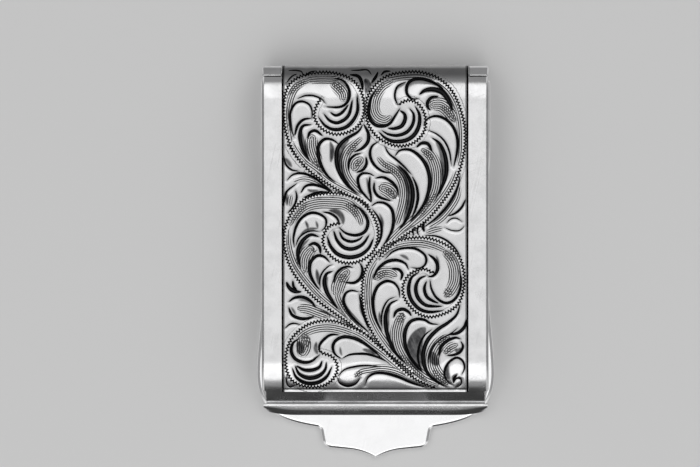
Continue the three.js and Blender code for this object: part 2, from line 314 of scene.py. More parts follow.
def make_handling_wear():
    """Cloudy tarnish, faint dimples and four sets of hair scratches, as factors for colour and roughness."""
    tree, given, made = new_group("handling_wear", ["Scratches", "Clouding"])
    sets = ((0.35, 60, 6000), (-0.8, 45, 7000), (1.35, 80, 5200), (2.3, 30, 8000))
    hairs = [ramp(tree, noise(tree, cells, (long, 1, 1), turn, 1.0), 0.64, 0.7) for turn, long, cells in sets]
    patches = ramp(tree, noise(tree, 260), 0.42, 0.62)
    hairs = maths(tree, "MULTIPLY", maths(tree, "MAXIMUM", *hairs), patches, given["Scratches"])
    cloud = ramp(tree, noise(tree, 420, detail=5.0), 0.35, 0.7)
    cloud = maths(tree, "MULTIPLY", cloud, given["Clouding"])
    dimples = maths(tree, "MULTIPLY", noise(tree, 4200, detail=2.0), 0.25, given["Clouding"])
    part = lambda value, share: maths(tree, "MULTIPLY", value, share)
    feed(tree, maths(tree, "SUBTRACT", 1.0, part(cloud, 0.16), part(hairs, 0.2)), made["Shade"])
    feed(tree, maths(tree, "ADD", part(cloud, 0.08), part(hairs, 0.12)), made["Roughness"])
    feed(tree, maths(tree, "SUBTRACT", dimples, hairs), made["Height"])
    return tree


def make_drawing_lines():
    """Fine lines drawn along X, as factors for colour and roughness."""
    tree, given, made = new_group("drawing_lines", ["Depth"])
    lines = maths(tree, "MULTIPLY", noise(tree, 5200, (40, 1, 1), 0.0, 2.0), given["Depth"])
    feed(tree, maths(tree, "SUBTRACT", 1.0, maths(tree, "MULTIPLY", lines, 0.3)), made["Shade"])
    feed(tree, maths(tree, "MULTIPLY", lines, 0.18), made["Roughness"])
    feed(tree, lines, made["Height"])
    return tree


# ---------------------------------------------------------------- materials

def new_metal(name):
    """A metal whose base colour, roughness and bump are still to be fed."""
    material = bpy.data.materials.new(name)
    material.use_nodes = True
    tree = material.node_tree
    shader = tree.nodes["Principled BSDF"]
    shader.inputs["Metallic"].default_value = 1
    return material, tree, shader


def finish_metal(tree, shader, colour, rough, height, bump):
    """Feed the shader; bump is the depth of the relief in millimetres."""
    feed(tree, colour, shader.inputs["Base Color"])
    feed(tree, rough, shader.inputs["Roughness"])
    relief = tree.nodes.new("ShaderNodeBump")
    relief.inputs["Strength"].default_value = 1.0
    relief.inputs["Distance"].default_value = bump * MM
    feed(tree, height, relief.inputs["Height"])
    tree.links.new(relief.outputs["Normal"], shader.inputs["Normal"])


def place_wear(tree, wear, settings):
    """One of the shared groups in a material's nodes, with the material's own values."""
    group = tree.nodes.new("ShaderNodeGroup")
    group.node_tree = wear
    for socket, value in settings.items():
        group.inputs[socket].default_value = value
    return group.outputs


def worn_metal(name, wear, settings, bright, dull, rough, bump):
    """A metal between a dull and a bright colour, worn by one of the shared groups."""
    material, tree, shader = new_metal(name)
    worn = place_wear(tree, wear, settings)
    colour = mixed(tree, worn["Shade"], dull, bright)
    finish_metal(tree, shader, colour, maths(tree, "ADD", worn["Roughness"], rough), worn["Height"], bump)
    return material


def line_mask(tree, place, middle, outer, inner):
    """1 along a line at one place, 0 past outer, with a soft edge from inner; all in millimetres."""
    off = maths(tree, "ABSOLUTE", maths(tree, "SUBTRACT", place, middle * MM))
    return ramp(tree, off, outer * MM, inner * MM)


def wriggle_mask(tree, along, across):
    """1 along a zigzag line of one period and swing."""
    beat = maths(tree, "PINGPONG", along, WRIGGLE_PERIOD / 2)
    wave = maths(tree, "SUBTRACT", maths(tree, "DIVIDE", beat, WRIGGLE_PERIOD / 4), 1.0)
    off = maths(tree, "SUBTRACT", across, maths(tree, "MULTIPLY", wave, WRIGGLE_SWING))
    return ramp(tree, maths(tree, "ABSOLUTE", off), 0.2, 0.15)


def hatch_mask(tree, place, where):
    """1 along evenly spaced lines where the second number is 1."""
    lines = ramp(tree, maths(tree, "PINGPONG", place, HATCH_PERIOD / 2), 0.1, 0.065)
    return maths(tree, "MULTIPLY", lines, where)


def make_engraved_silver(wear):
    """Silver with blackened cuts, wriggle borders and hatching, and painted shade in the hollows, beside the
    cuts and at the hinge end, from the panel's fields.
    """
    material, tree, shader = new_metal("engraved_silver")
    worn = place_wear(tree, wear, {"Scratches": 0.5, "Clouding": 0.9})
    times = lambda *values: maths(tree, "MULTIPLY", *values)
    most = lambda *values: maths(tree, "MAXIMUM", *values)

    ragged = times(maths(tree, "SUBTRACT", noise(tree, 3500), 0.5), 0.05)
    cut = maths(tree, "ADD", reading(tree, "cut_edge"), ragged)
    cuts = ramp(tree, cut, 0.025, -0.03)
    cut_floor = ramp(tree, cut, -0.15, -0.24)

    border_across = reading(tree, "border_across")
    border = wriggle_mask(tree, reading(tree, "border_along"), border_across)
    clear = ramp(tree, maths(tree, "ABSOLUTE", border_across), 0.26, 0.36)

    across, along = reading(tree, "hatch_across"), reading(tree, "hatch_along")
    slant = maths(tree, "ADD", times(along, 0.8), times(across, 0.6))
    hatch = hatch_mask(tree, across, reading(tree, "hatch"))
    cross = hatch_mask(tree, slant, reading(tree, "crossing"))
    hatching = times(most(hatch, cross), clear, 0.92)

    split = tree.nodes.new("ShaderNodeSeparateXYZ")
    tree.links.new(tree.nodes.new("ShaderNodeTexCoord").outputs["Object"], split.inputs[0])
    out_x, y = maths(tree, "ABSOLUTE", split.outputs["X"]), split.outputs["Y"]
    rules = most(line_mask(tree, out_x, RULE_X, 0.24, 0.19),
                 times(line_mask(tree, out_x, FINE_RULE_X, 0.06, 0.03), 0.7),
                 times(line_mask(tree, y, FOOT_RULE_Y, 0.12, 0.06), 0.8))

    streak = ramp(tree, noise(tree, 2600, (1, 3, 1), 0.4), 0.3, 0.7, 0.85, 1.0)
    # Painted shade: a streaked grey band on the banks just outside each cut.
    painted_bank_shade = ramp(tree, maths(tree, "ADD", cut, times(streak, 0.3)), 0.6, 0.25, 0.0, 0.4)
    # Painted shade: darker towards the hinge end, where the face turns over the nose.
    painted_nose_shade = ramp(tree, y, 25.2 * MM, 26.4 * MM, 0.0, 0.6)
    # All the painted shade together: in the hollows, towards the hinge end and on the banks of the cuts.
    painted_shade = most(times(reading(tree, "painted_shade"), streak), painted_nose_shade, painted_bank_shade)
    dark = most(cuts, border, hatching, rules)

    colour = mixed(tree, worn["Shade"], tone(0.15), tone(0.67, 0.005))
    # The painted shade darkens the silver towards near black.
    colour = mixed(tree, painted_shade, colour, tone(0.04, 0.002))
    colour = mixed(tree, dark, colour, tone(0.003, 0.0003))
    colour = mixed(tree, times(cut_floor, streak), colour, tone(0.016, 0.001))
    rough = maths(tree, "ADD", worn["Roughness"], ramp(tree, dark, 0, 1, 0.15, 0.4))
    height = maths(tree, "SUBTRACT", times(worn["Height"], 0.1), dark)
    finish_metal(tree, shader, colour, rough, height, 0.012)
    return material


# ---------------------------------------------------------------- surfaces

def new_piece(name, points, faces, body, replaces, slot, material, fields=None, sharp=35):
    """Fill a mesh with points in millimetres and faces, smooth but for its flat caps.

    It rides on a body if one is named, and edges sharper than the given angle stay sharp.
    """
    mesh = bpy.data.meshes.new(name)
    mesh.from_pydata((np.asarray(points) * MM).tolist(), [], faces)
    mesh.update()
    mesh.materials.append(material)
    for field, values in (fields or {}).items():
        mesh.attributes.new(field, "FLOAT", "POINT").data.foreach_set("value", values.astype(np.float32))
    mesh.polygons.foreach_set("use_smooth", [len(face) == 4 for face in faces])
    mesh.set_sharp_from_angle(angle=math.radians(sharp))
    obj = bpy.data.objects.new(name, mesh)
    bpy.context.collection.objects.link(obj)
    if body:
        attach(obj, body)
    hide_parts(*replaces)
    return obj


def strip_faces(rows, count, closed=True):
    """Quads between neighbouring rows of count points each, closed round each row if asked."""
    r, c = np.meshgrid(np.arange(rows - 1), np.arange(count if closed else count - 1), indexing="ij")
    a = r * count + c
    b = r * count + (c + 1) % count
    return np.stack([a, b, b + count, a + count], axis=-1).reshape(-1, 4)


def swept(sections):
    """A closed solid from an array of loops (rows, points, 3), with a flat cap on the first and last loop.

    Seen from the last row, the loops run anticlockwise, so that every face points out.
    """
    rows, count, _ = sections.shape
    faces = strip_faces(rows, count).tolist()
    faces.append(list(range(count))[::-1])
    faces.append(list(range((rows - 1) * count, rows * count)))
    return sections.reshape(-1, 3), faces


def quarter_round(steps):
    """Pairs (along, in) of a quarter circle of radius 1, from the flank to the flat."""
    t = np.linspace(0, QUARTER, steps + 1)
    return np.sin(t), 1 - np.cos(t)


# ---------------------------------------------------------------- side view of the front plate

def arc_points(y, z, radius, start, end, steps):
    """Points (y, z, outward y, outward z) on an arc whose angle is counted from straight up, towards +Y."""
    t = np.linspace(start, end, steps + 1)
    return np.stack([y + radius * np.sin(t), z + radius * np.cos(t), np.sin(t), np.cos(t)], axis=1)


NOSE_RISE = PIN_Z - FRONT_TOP + CROWN_RADIUS
NOSE_ARC = (CROWN_RADIUS**2 - CROWN_LENGTH**2 - NOSE_RISE**2) / (2 * (CROWN_RADIUS - CROWN_LENGTH))
NOSE_ARC_Y = HINGE_END - NOSE_ARC
CROWN_Y = HINGE_END - CROWN_LENGTH
CROWN_SLOPE = math.atan2(NOSE_ARC_Y - CROWN_Y, NOSE_RISE)
SEAM_SLOPE = math.asin((HINGE_END - SEAM_FROM_END - NOSE_ARC_Y) / NOSE_ARC)
TOE_Y = CREASE_Y + TOE_LENGTH
TOE_RADIUS = TOE_LENGTH / math.sin(TOE_ANGLE)
CREASE_Z = FRONT_TOP - TOE_RADIUS * (1 - math.cos(TOE_ANGLE))


def lid_line():
    """The front plate's outer face from the seam over the crown and the flat to the end of the toe."""
    over = arc_points(NOSE_ARC_Y, PIN_Z, NOSE_ARC, SEAM_SLOPE, CROWN_SLOPE, 8)
    crown = arc_points(CROWN_Y, FRONT_TOP - CROWN_RADIUS, CROWN_RADIUS, CROWN_SLOPE, 0, 10)
    toe = arc_points(TOE_Y, FRONT_TOP - TOE_RADIUS, TOE_RADIUS, 0, -TOE_ANGLE, 20)
    return np.vstack([over, crown[1:], toe])


def panel_line(pitch):
    """The panel's face at one pitch: rolled end under the pin, nose, crown, flat and toe."""
    lengths = (NOSE_ARC * (QUARTER - CROWN_SLOPE), CROWN_RADIUS * CROWN_SLOPE, CROWN_Y - TOE_Y,
               TOE_RADIUS * TOE_ANGLE)
    steps = [max(1, round(length / pitch)) for length in lengths]
    roll = arc_points(PIN_Y, PIN_Z, NOSE_RADIUS, QUARTER + NOSE_WRAP, QUARTER, 12)
    nose = arc_points(NOSE_ARC_Y, PIN_Z, NOSE_ARC, QUARTER, CROWN_SLOPE, steps[0])
    crown = arc_points(CROWN_Y, FRONT_TOP - CROWN_RADIUS, CROWN_RADIUS, CROWN_SLOPE, 0, steps[1])
    flat_y = np.linspace(CROWN_Y, TOE_Y, steps[2] + 1)
    flat = np.column_stack([flat_y, np.full_like(flat_y, FRONT_TOP), np.zeros_like(flat_y),
                            np.ones_like(flat_y)])
    toe = arc_points(TOE_Y, FRONT_TOP - TOE_RADIUS, TOE_RADIUS, 0, -TOE_ANGLE, steps[3])
    return np.vstack([roll[:-1], nose, crown[1:], flat[1:], toe[1:]])


def riser_line(steps):
    """The riser's outer face from just under the crease down to its foot."""
    z = np.linspace(CREASE_Z, FRONT_FOOT, steps + 1)
    y = CREASE_Y - (CREASE_Z - z) / math.tan(RISER_ANGLE)
    out = np.tile([-math.sin(RISER_ANGLE), math.cos(RISER_ANGLE)], (len(z), 1))
    return np.column_stack([y, z, out])


def moved(line, out):
    """The line's points moved out along their directions by one distance or one for each point."""
    return line[:, :2] + line[:, 2:] * np.reshape(out, (-1, 1))


def make_front_plate(material):
    """Loops round the sheet at each x: the outer face, dropped at the rounded sides, and the inner face.

    The face is let in between the side bands, for the panel, and the riser is a little narrower.
    """
    lid, riser = lid_line(), riser_line(6)
    mitre = (TOE_ANGLE + RISER_ANGLE) / 2
    crease = np.array([[CREASE_Y, CREASE_Z, -math.sin(mitre), math.cos(mitre)]])
    foot = moved(riser[[-1]], 0) + [FRONT_THICK / math.sin(RISER_ANGLE), 0]
    inside = np.vstack([moved(lid[:-2], -FRONT_THICK), moved(crease, -FRONT_THICK), foot])
    reach, drop = quarter_round(8)
    band = PANEL_HALF + PANEL_GAP
    bed = (band - 0.01, PANEL_DEPTH + 0.02)
    stations = [(FRONT_HALF - EDGE_WIDTH * (1 - r), EDGE_BEVEL * d) for r, d in zip(reach[::-1], drop[::-1])]
    stations += [(band, 0), bed]
    stations = [(-x, d) for x, d in stations] + stations[::-1]
    narrow = slice(len(lid), len(lid) + len(riser) + 2)
    loops = []
    for x, down in stations:
        loop = np.vstack([moved(lid, -down), moved(riser, 0), inside[::-1]])
        xs = np.full(len(loop), x)
        xs[narrow] = np.interp(x, [-FRONT_HALF, -band, band, FRONT_HALF],
                               [-RISER_HALF, -band, band, RISER_HALF])
        loops.append(np.column_stack([xs, loop]))
    return new_piece("front_plate_sheet", *swept(np.array(loops)), "front", ["front_plate"],
                     "polished_silver", material)


# ---------------------------------------------------------------- engraving, in millimetres (x, y)

# Wriggle borders that outline the five scrolls and their stems.
BORDERS = [
    [(-9.7, 13.2), (-11.4, 15.4), (-12.4, 17.9), (-12.8, 20.6), (-12.6, 23.2), (-11.8, 25), (-10, 26.1),
     (-7.4, 26.5), (-5.3, 26.3), (-3.4, 25.6), (-2.2, 24.3), (-1.6, 22.6), (-1.6, 20.6), (-2.3, 19.1),
     (-3.6, 18.2), (-5.6, 17.85), (-7.4, 18.6), (-8.4, 20), (-8.35, 21.4), (-7.7, 22.7)],
    [(-12, 16.3), (-10.9, 14.6), (-8.9, 12.5), (-6.3, 10.7), (-4, 9.4), (-2.15, 8.7), (-0.9, 7.8)],
    [(0.7, 1), (3.6, 3.3), (7, 5.6), (9.6, 8.6), (11.3, 11.4), (12.2, 14.2), (12.6, 16.6), (12.5, 19.2),
     (11.7, 22), (10.6, 24.1), (8.8, 25.7), (6.4, 26.5), (4.2, 26.5), (2, 26.1), (0.4, 25.1),
     (-0.9, 23.4), (-1.3, 21.7), (-1, 19.4), (0.2, 17.6), (2, 16.5), (3.6, 16.2), (5.3, 16.6),
     (6.6, 17.8), (7.1, 19.3), (6.8, 21), (5.9, 22.2), (4.7, 22.6), (3.5, 22.2)],
    [(-0.6, -10.6), (-2.7, -9.2), (-5.2, -7.5), (-7.8, -5.6), (-9.8, -3.7), (-11.6, -1.2), (-12.5, 1.2),
     (-12.8, 3.4), (-12.3, 5.6), (-11.1, 7.6), (-9.4, 9), (-7.2, 9.55), (-4.9, 9.55), (-2.6, 8.8),
     (-1, 7.5), (0.1, 5.7), (0.45, 3.8), (-0.1, 1.7), (-1.2, 0.6), (-2.6, -0.05), (-4.1, -0.15),
     (-5.5, 0.3), (-6.7, 1.4), (-7.3, 2.8), (-7, 4.2), (-6.2, 5.1), (-5.1, 5.35)],
    [(8.1, -17.6), (5.8, -16.5), (3.9, -15), (2.2, -13.3), (0.8, -11.7), (-0.4, -9.9), (-1.3, -7.9),
     (-1.75, -5.9), (-1.8, -4), (-1.65, -2.3), (-1.1, -0.6), (0.3, 1.3), (2.2, 2.6), (4.4, 3.25),
     (6.6, 3.4), (8.6, 3), (10.4, 2.1), (11.7, 0.8), (12.3, -0.8), (12.5, -2.7), (12.2, -4.6),
     (11.6, -5.9), (10.4, -6.9), (8.9, -7.5), (7.5, -7.7), (6, -7.2), (4.8, -6.1), (4, -4.7),
     (3.95, -3.2), (4.6, -2), (5.6, -1.3), (6.9, -1), (8, -1.5)],
    [(5.2, -15.6), (3.2, -13.9), (0.6, -11.8), (-1.6, -9.9), (-3.9, -8.9), (-5.6, -8.3), (-7.4, -8.25),
     (-9.2, -8.7), (-10.6, -9.6), (-11.7, -10.8), (-12.3, -12.2), (-12.5, -13.9), (-12.3, -15.4),
     (-11.6, -16.6), (-10.3, -17.3), (-8.8, -17.55), (-7.2, -17.3), (-5.9, -16.4), (-5.3, -15.2),
     (-5.4, -14.1), (-6.1, -13.2), (-7.5, -12.7)],
]

# Cuts: greatest width, then the points of the centre line.
CUTS = [
    # upper left scroll
    (.34, (-6, 25.65), (-5, 25.6), (-4.2, 25.1), (-3.65, 24.1), (-3.6, 23), (-4.1, 22.1), (-5.1, 21.65),
     (-7, 21.7)),
    (.22, (-10.9, 22.8), (-9.8, 23.25), (-8.6, 23.25), (-7.5, 22.8), (-6.9, 22.1)),
    (.36, (-6.3, 20.95), (-5.5, 20.5), (-4.6, 20.9), (-3.7, 22)),
    (.42, (-7.2, 20.75), (-6.3, 19.75), (-5.1, 19.5), (-3.7, 20.5), (-3.15, 22.7)),
    (.44, (-7.95, 20.3), (-6.9, 19), (-5.4, 18.5), (-3.7, 19.1), (-2.5, 20.9), (-2.5, 23.3)),
    (.28, (-11.3, 17.3), (-11.8, 19), (-11.85, 20.8), (-11.2, 22.1), (-10.2, 22.45), (-9.2, 22),
     (-8.8, 21), (-8.85, 19.9)),
    (.34, (-8.9, 20.1), (-10, 19.9), (-10.8, 19.1), (-11.25, 17.6)),
    (.45, (-8.9, 19.2), (-10.1, 19), (-10.5, 17.8), (-10.35, 16.5), (-9.9, 15.3), (-9.1, 14.2)),
    (.36, (-9.45, 17.2), (-9.1, 18.1), (-8.3, 18.35), (-7.3, 17.6)),
    (.42, (-5, 16.4), (-6, 17.1), (-7.1, 17.15), (-7.9, 16.2), (-7.9, 14.7), (-7.4, 13.2), (-6.6, 12),
     (-5.5, 11.1)),
    (.5, (-1.7, 19.2), (-2.4, 18.2), (-4.2, 17.1), (-5.2, 15.9), (-5.4, 14.4), (-5.1, 12.8), (-4, 10.9),
     (-2.5, 9.5)),
    (.42, (-1.6, 19.3), (-0.95, 18), (-1, 16.8), (-1.8, 15.9), (-2.95, 15.35)),
    (.3, (-3.7, 12.7), (-3.6, 14), (-2.9, 14.9), (-1.9, 15.2)),
    (.36, (-1.25, 14.7), (-1.2, 13.7), (-1.7, 12.9), (-2.6, 12.5)),
    # fillers round the upper left scroll
    (.2, (-12.2, 26.75), (-11.2, 26.8), (-10.3, 26.6), (-10.1, 25.9)),
    (.2, (-12.4, 25.1), (-11.6, 26), (-10.9, 26.3)),
    (.2, (-9.8, 25.9), (-9.2, 26.5), (-8.2, 26.75)),
    (.22, (-3.5, 26.8), (-2.4, 26.8), (-1.1, 26.85), (-0.45, 26.1)),
    (.45, (-3.6, 26.2), (-2.4, 26), (-1.9, 25.2), (-1.7, 24)),
    (.4, (0.4, 26.6), (0.1, 25.9), (-0.5, 25)),
    (.3, (0.8, 26.1), (1.3, 26.6), (2.2, 26.7)),
    (.24, (-12.75, 14.9), (-12.5, 13.7), (-11.7, 12.9), (-10.6, 12.7)),
    (.3, (-12.3, 11.4), (-11.5, 12.2), (-10.2, 12.4), (-8.7, 11.9), (-7.2, 10.8), (-6, 9.9)),
    (.26, (-13, 6.9), (-12.7, 8.7), (-12.3, 9.9), (-10.9, 11)),
    (.26, (-12.2, 6.8), (-11.3, 7.9), (-10.95, 9), (-11.1, 10)),
    (.34, (-10.4, 9.6), (-9.7, 10.6), (-8.5, 10.8), (-7.2, 10.4), (-6, 9.7)),
    (.3, (-10, 9), (-9, 9.4), (-7.8, 9.75), (-6.4, 9.75)),
    # upper right scroll
    (.42, (0.2, 24.2), (-0.6, 22.8), (-0.9, 21.3), (-0.7, 20), (0.1, 19.15), (1.2, 19), (2.1, 19.4),
     (2.8, 20.4), (3.5, 21.5)),
    (.24, (4.3, 25.2), (3.2, 24.6), (2.8, 23.6), (2.85, 22.7), (3.3, 21.8)),
    (.42, (6.1, 22.8), (5.1, 22.85), (4.45, 23.6), (4.5, 24.7), (5.2, 25.45), (6.5, 25.6), (7.9, 25.2),
     (9.1, 24.5), (10, 23.5)),
    (.62, (6.2, 23.4), (7, 24), (8.2, 24.15), (9.4, 23.7), (10.2, 22.7), (10.9, 21.1)),
    (.4, (8.9, 23.15), (7.9, 23), (7.35, 22.3), (7.4, 21.6), (7.8, 21.2)),
    (.48, (3.45, 21.2), (4.1, 20.7), (4.2, 19.9), (3.7, 19), (2.7, 18.65), (1.8, 18.7)),
    (.42, (4.8, 21.5), (5.4, 20.6), (5.3, 19.3), (4.5, 18.2), (3.2, 17.7), (1.9, 17.85), (0.9, 18.4)),
    (.52, (5.6, 21.8), (6.2, 20.6), (6.15, 19.1), (5.5, 17.8), (4.3, 17), (2.7, 16.85), (1.5, 17.3),
     (0.5, 18.2)),
    (.36, (6.8, 19), (7.2, 19.9), (8.4, 20.4), (9.8, 20), (10.9, 18.9), (11.5, 17.3), (11.5, 15.6),
     (11, 13.2)),
    (.22, (7.2, 18.5), (8.6, 17.9), (9.7, 16.9), (10.4, 15.4), (10.7, 13.4)),
    (.5, (7.9, 17.4), (9, 16.6), (9.7, 15.2), (10, 13.5), (9.9, 12), (9.3, 10.4), (8.5, 8.9)),
    (.42, (5.8, 16), (6.5, 16.6), (7.4, 16.5), (8, 15.4)),
    (.46, (2.8, 14.8), (3.5, 15.6), (4.8, 15.7), (6, 15), (7, 13.8), (7.6, 12.1), (7.6, 10.4), (7.1, 8.6),
     (6.2, 7.1), (4.9, 5.6)),
    (.34, (0.6, 16.9), (-0.4, 16.2), (-0.7, 15), (-0.2, 13.7), (1, 12.7), (2.4, 12.4)),
    (.26, (1.3, 16.3), (1.9, 15.2), (3, 14.3), (4.2, 13.2), (5.2, 12.1)),
    (.5, (3.2, 13.6), (4.4, 12.3), (5.1, 10.8), (5.3, 9.2), (5, 7.4), (4.3, 5.8), (3.4, 4.6)),
    (.34, (5.2, 12), (5.8, 10.6), (6, 9), (5.7, 7.5), (5.1, 6.1)),
    (.34, (-0.1, 12), (-0.8, 12.35), (-1.8, 12.35), (-2.4, 11.6), (-2.1, 10.2), (-1.4, 9.3), (-0.5, 8.3)),
    (.3, (-0.7, 12), (-0.8, 10.6), (-0.6, 9.2), (-0.5, 8.3)),
    (.36, (0, 11.7), (1.1, 11.85), (2.2, 11.3), (3, 10.4), (3.3, 9.2)),
    (.34, (-0.1, 11.2), (-0.1, 10), (0.6, 9.1), (2.3, 8.5)),
    (.38, (-0.5, 7.8), (0.3, 8.3), (1.4, 8.2), (2.3, 7.4), (2.6, 6.1), (2.4, 4.5), (1.7, 3.1), (1, 2.1)),
    (.3, (-0.4, 7.4), (0.4, 6.3), (0.9, 4.9), (0.8, 3.4), (0.2, 2)),
    (.34, (11.9, 12.1), (11.6, 10.6), (10.9, 9), (9.8, 7.4), (8.4, 6), (6.9, 4.9)),
    (.3, (12.7, 8.8), (12.1, 7.6), (11.2, 6.8), (10.2, 6.4)),
    (.16, (10, 5.4), (10.6, 6), (11.4, 6.1), (12.2, 5.6)),
    (.16, (9.7, 4.8), (10.8, 4.4), (11.8, 4.4), (12.5, 5)),
    (.34, (6.9, 5.5), (6.7, 4.9), (6.9, 4.2)),
    (.2, (6.2, 5), (5.9, 4.4), (6.1, 3.7)),
    (.2, (5.5, 4.9), (5.3, 4.3), (5.4, 3.6)),
    # middle left scroll
    (.4, (-3.2, 8.05), (-2.2, 7.5), (-1.4, 6.6), (-1, 5.5), (-1.3, 4.4), (-2.1, 3.85), (-3.1, 3.75),
     (-4.2, 4.1), (-5.1, 4.9)),
    (.34, (-11.3, 2), (-11.4, 3.4), (-11, 5), (-10.2, 6.2), (-9, 6.85), (-7.8, 6.7), (-6.9, 6), (-6.9, 5),
     (-7.5, 4.3)),
    (.3, (-7.3, 7), (-6.3, 6.8), (-5.4, 6.2), (-4.9, 5.2)),
    (.34, (-5, 4.3), (-4.5, 3.3), (-3.4, 2.85), (-2.3, 3.1), (-1.7, 3.6)),
    (.46, (-5.8, 4.4), (-5.3, 3), (-4.3, 2), (-3, 1.85), (-1.7, 2.5), (-0.8, 3.8)),
    (.5, (-6.7, 3.6), (-6.2, 2.2), (-5.2, 1.1), (-3.7, 0.65), (-2.1, 0.95), (-0.9, 1.9), (-0.2, 3.3)),
    (.2, (-11.1, 2.2), (-10.6, 3.4), (-9.6, 4.15), (-8.6, 4.35), (-7.7, 4.2)),
    (.5, (-7.8, 3.5), (-9, 3.8), (-10.1, 3), (-10.7, 1.8), (-10.75, 0.6), (-10.4, -0.8)),
    (.4, (-9.4, 2.3), (-8.5, 2.6), (-7.8, 2.1), (-7.6, 1.1)),
    (.42, (-6.3, -0.1), (-7.1, 0.7), (-8.1, 0.85), (-9, 0), (-9.15, -1.4), (-8.6, -2.8), (-7.7, -4)),
    (.5, (-5.9, -1.3), (-6.8, -1.7), (-7.1, -2.9), (-6.7, -4.3), (-5.9, -5.6), (-5.2, -6.6)),
    (.2, (-7.7, -3.7), (-7.7, -2.4), (-7.3, -1.4), (-6.5, -0.6), (-5.9, -0.4)),
    (.32, (-5.8, -3), (-5.5, -1.8), (-4.8, -1), (-3.9, -0.65), (-3.1, -0.8)),
    (.38, (-2.1, -0.1), (-1.75, -1.1), (-2, -2.2), (-2.9, -2.9), (-4.3, -2.85)),
    (.36, (-2.2, -4.2), (-3.3, -4), (-4.1, -4.4), (-4.4, -5.5), (-3.8, -6.9), (-2.6, -8.3), (-0.8, -9.9)),
    (.3, (-2.2, -4.4), (-2, -5.6), (-1.6, -7.4), (-0.9, -9.4)),
    # middle right scroll
    (.3, (1.4, 0.4), (2.6, 1.5), (4.2, 1.95), (5.8, 1.8), (7, 0.9), (7.1, -0.2), (6.3, -0.85), (5, -0.8)),
    (.4, (-0.3, -2.4), (0.4, -1), (1.6, 0), (3, 0.25), (4.2, -0.2), (4.7, -1.1)),
    (.36, (2.3, -0.9), (3.3, -1.05), (3.8, -1.7), (3.6, -2.6)),
    (.38, (3.45, -5), (3.3, -3.8), (2.6, -2.9), (1.5, -2.7), (0.4, -3.4), (-0.2, -4.8), (-0.25, -6.4),
     (0.2, -8.2), (1, -9.8)),
    (.48, (3.2, -5.3), (2.1, -5.9), (1.5, -7.3), (1.5, -9), (1.95, -10.8), (2.8, -12.6), (4.2, -14.2)),
    (.2, (2.9, -4.9), (1.9, -5.3), (1.2, -6.4), (0.9, -7.8), (1, -9.4)),
    (.42, (2.6, -7.8), (3, -6.9), (3.9, -6.6), (4.7, -7), (5.1, -7.6)),
    (.44, (8.9, -8.75), (7.8, -8.6), (6.9, -8.1), (5.8, -8), (4.8, -8.5), (4.2, -9.8), (4.2, -11.5),
     (4.9, -13.3), (6, -14.8), (6.8, -15.6)),
    (.26, (8, -9.4), (7, -10.2), (6.3, -11.4), (6, -13), (6.2, -14.4), (6.7, -15.4)),
    (.5, (11.9, -6), (11.4, -7.4), (10.2, -8.5), (8.7, -9.5), (7.4, -10.9), (6.8, -12.5), (6.8, -14.2),
     (7.4, -15.6), (8.5, -16.7), (9.8, -17.5)),
    (.2, (11.6, -9.2), (10.6, -10), (9.2, -10.8), (8.1, -11.9), (7.5, -13.4), (7.5, -14.8)),
    (.42, (12.8, -8), (12.5, -9.1), (11.6, -9.9), (10.4, -10.2)),
    (.4, (8.9, -13.2), (9.2, -12), (10, -11.1), (11.2, -10.6), (12, -10.8)),
    (.34, (12, -11.1), (12.3, -11.8), (11.9, -12.6), (11, -13), (10, -13.1)),
    (.42, (7.4, 1.1), (8.2, 0.5), (8.7, -0.3), (8.7, -1.2), (8.2, -1.9), (7.4, -2.1)),
    (.34, (11.8, -1.2), (12.05, -2.8), (11.7, -4.4), (10.8, -5.5), (9.7, -5.7), (8.6, -5), (7.9, -3.8),
     (7.7, -2.5)),
    (.4, (7.2, -2.7), (6.9, -3.7), (7.2, -4.8), (8, -5.4), (8.9, -5.8)),
    (.46, (7.2, -1.9), (6.2, -2.4), (5.7, -3.6), (6, -5), (7, -6), (8.2, -6.2), (9.4, -6.2)),
    (.46, (6.2, -1.4), (5.1, -2.2), (4.7, -3.7), (5, -5.2), (6.1, -6.5), (7.6, -7), (9.6, -6.8)),
    (.24, (7, 3.7), (8.6, 3.6), (10, 3), (11.2, 1.9), (12, 0.6)),
    # lower left scroll
    (.42, (-10.6, -10.7), (-11.5, -11.4), (-11.7, -12.6), (-11.1, -13.6), (-10, -14.05), (-8.9, -13.9),
     (-7.9, -13.1)),
    (.34, (-5, -10.2), (-6.2, -10.2), (-7.2, -10.9), (-7.8, -11.8), (-7.7, -12.8)),
    (.42, (-4.6, -13.6), (-5.6, -12.9), (-5.9, -11.9), (-5.5, -11), (-4.5, -10.5), (-3.2, -10.6),
     (-1.8, -11.2), (-0.4, -12.2), (0.9, -13.4)),
    (.3, (-4.6, -13.5), (-3.6, -13), (-2.4, -12.85), (-1.1, -12.9), (0.3, -13.3), (1.8, -14)),
    (.42, (-11, -14.5), (-10, -15.1), (-8.8, -15.15), (-7.8, -14.7), (-7.4, -13.8)),
    (.46, (-11.2, -14.5), (-10.6, -15.7), (-9.3, -16.3), (-7.9, -16), (-7, -15.1), (-6.8, -14)),
    (.42, (-11.6, -14.8), (-11, -16.2), (-9.7, -17), (-8.1, -16.95), (-6.8, -16.1), (-6, -14.6)),
    (.22, (-5.2, -16), (-4.3, -15.1), (-3, -14.7), (-1.4, -14.5), (0.6, -14.6)),
    (.26, (-5.3, -16.2), (-4.9, -17), (-3.9, -17.4), (-2.8, -17.1), (-2.1, -16.3)),
    (.34, (-1.4, -17.3), (-1, -16.2), (0, -15.6), (1.4, -15.6), (3.2, -16.1), (5, -16.9), (7, -17.6)),
    (.5, (-12.4, -2.8), (-12, -3.6), (-11.3, -4.1), (-10.3, -4.2)),
    (.3, (-11.5, -2.6), (-11.4, -3.4), (-10.9, -4)),
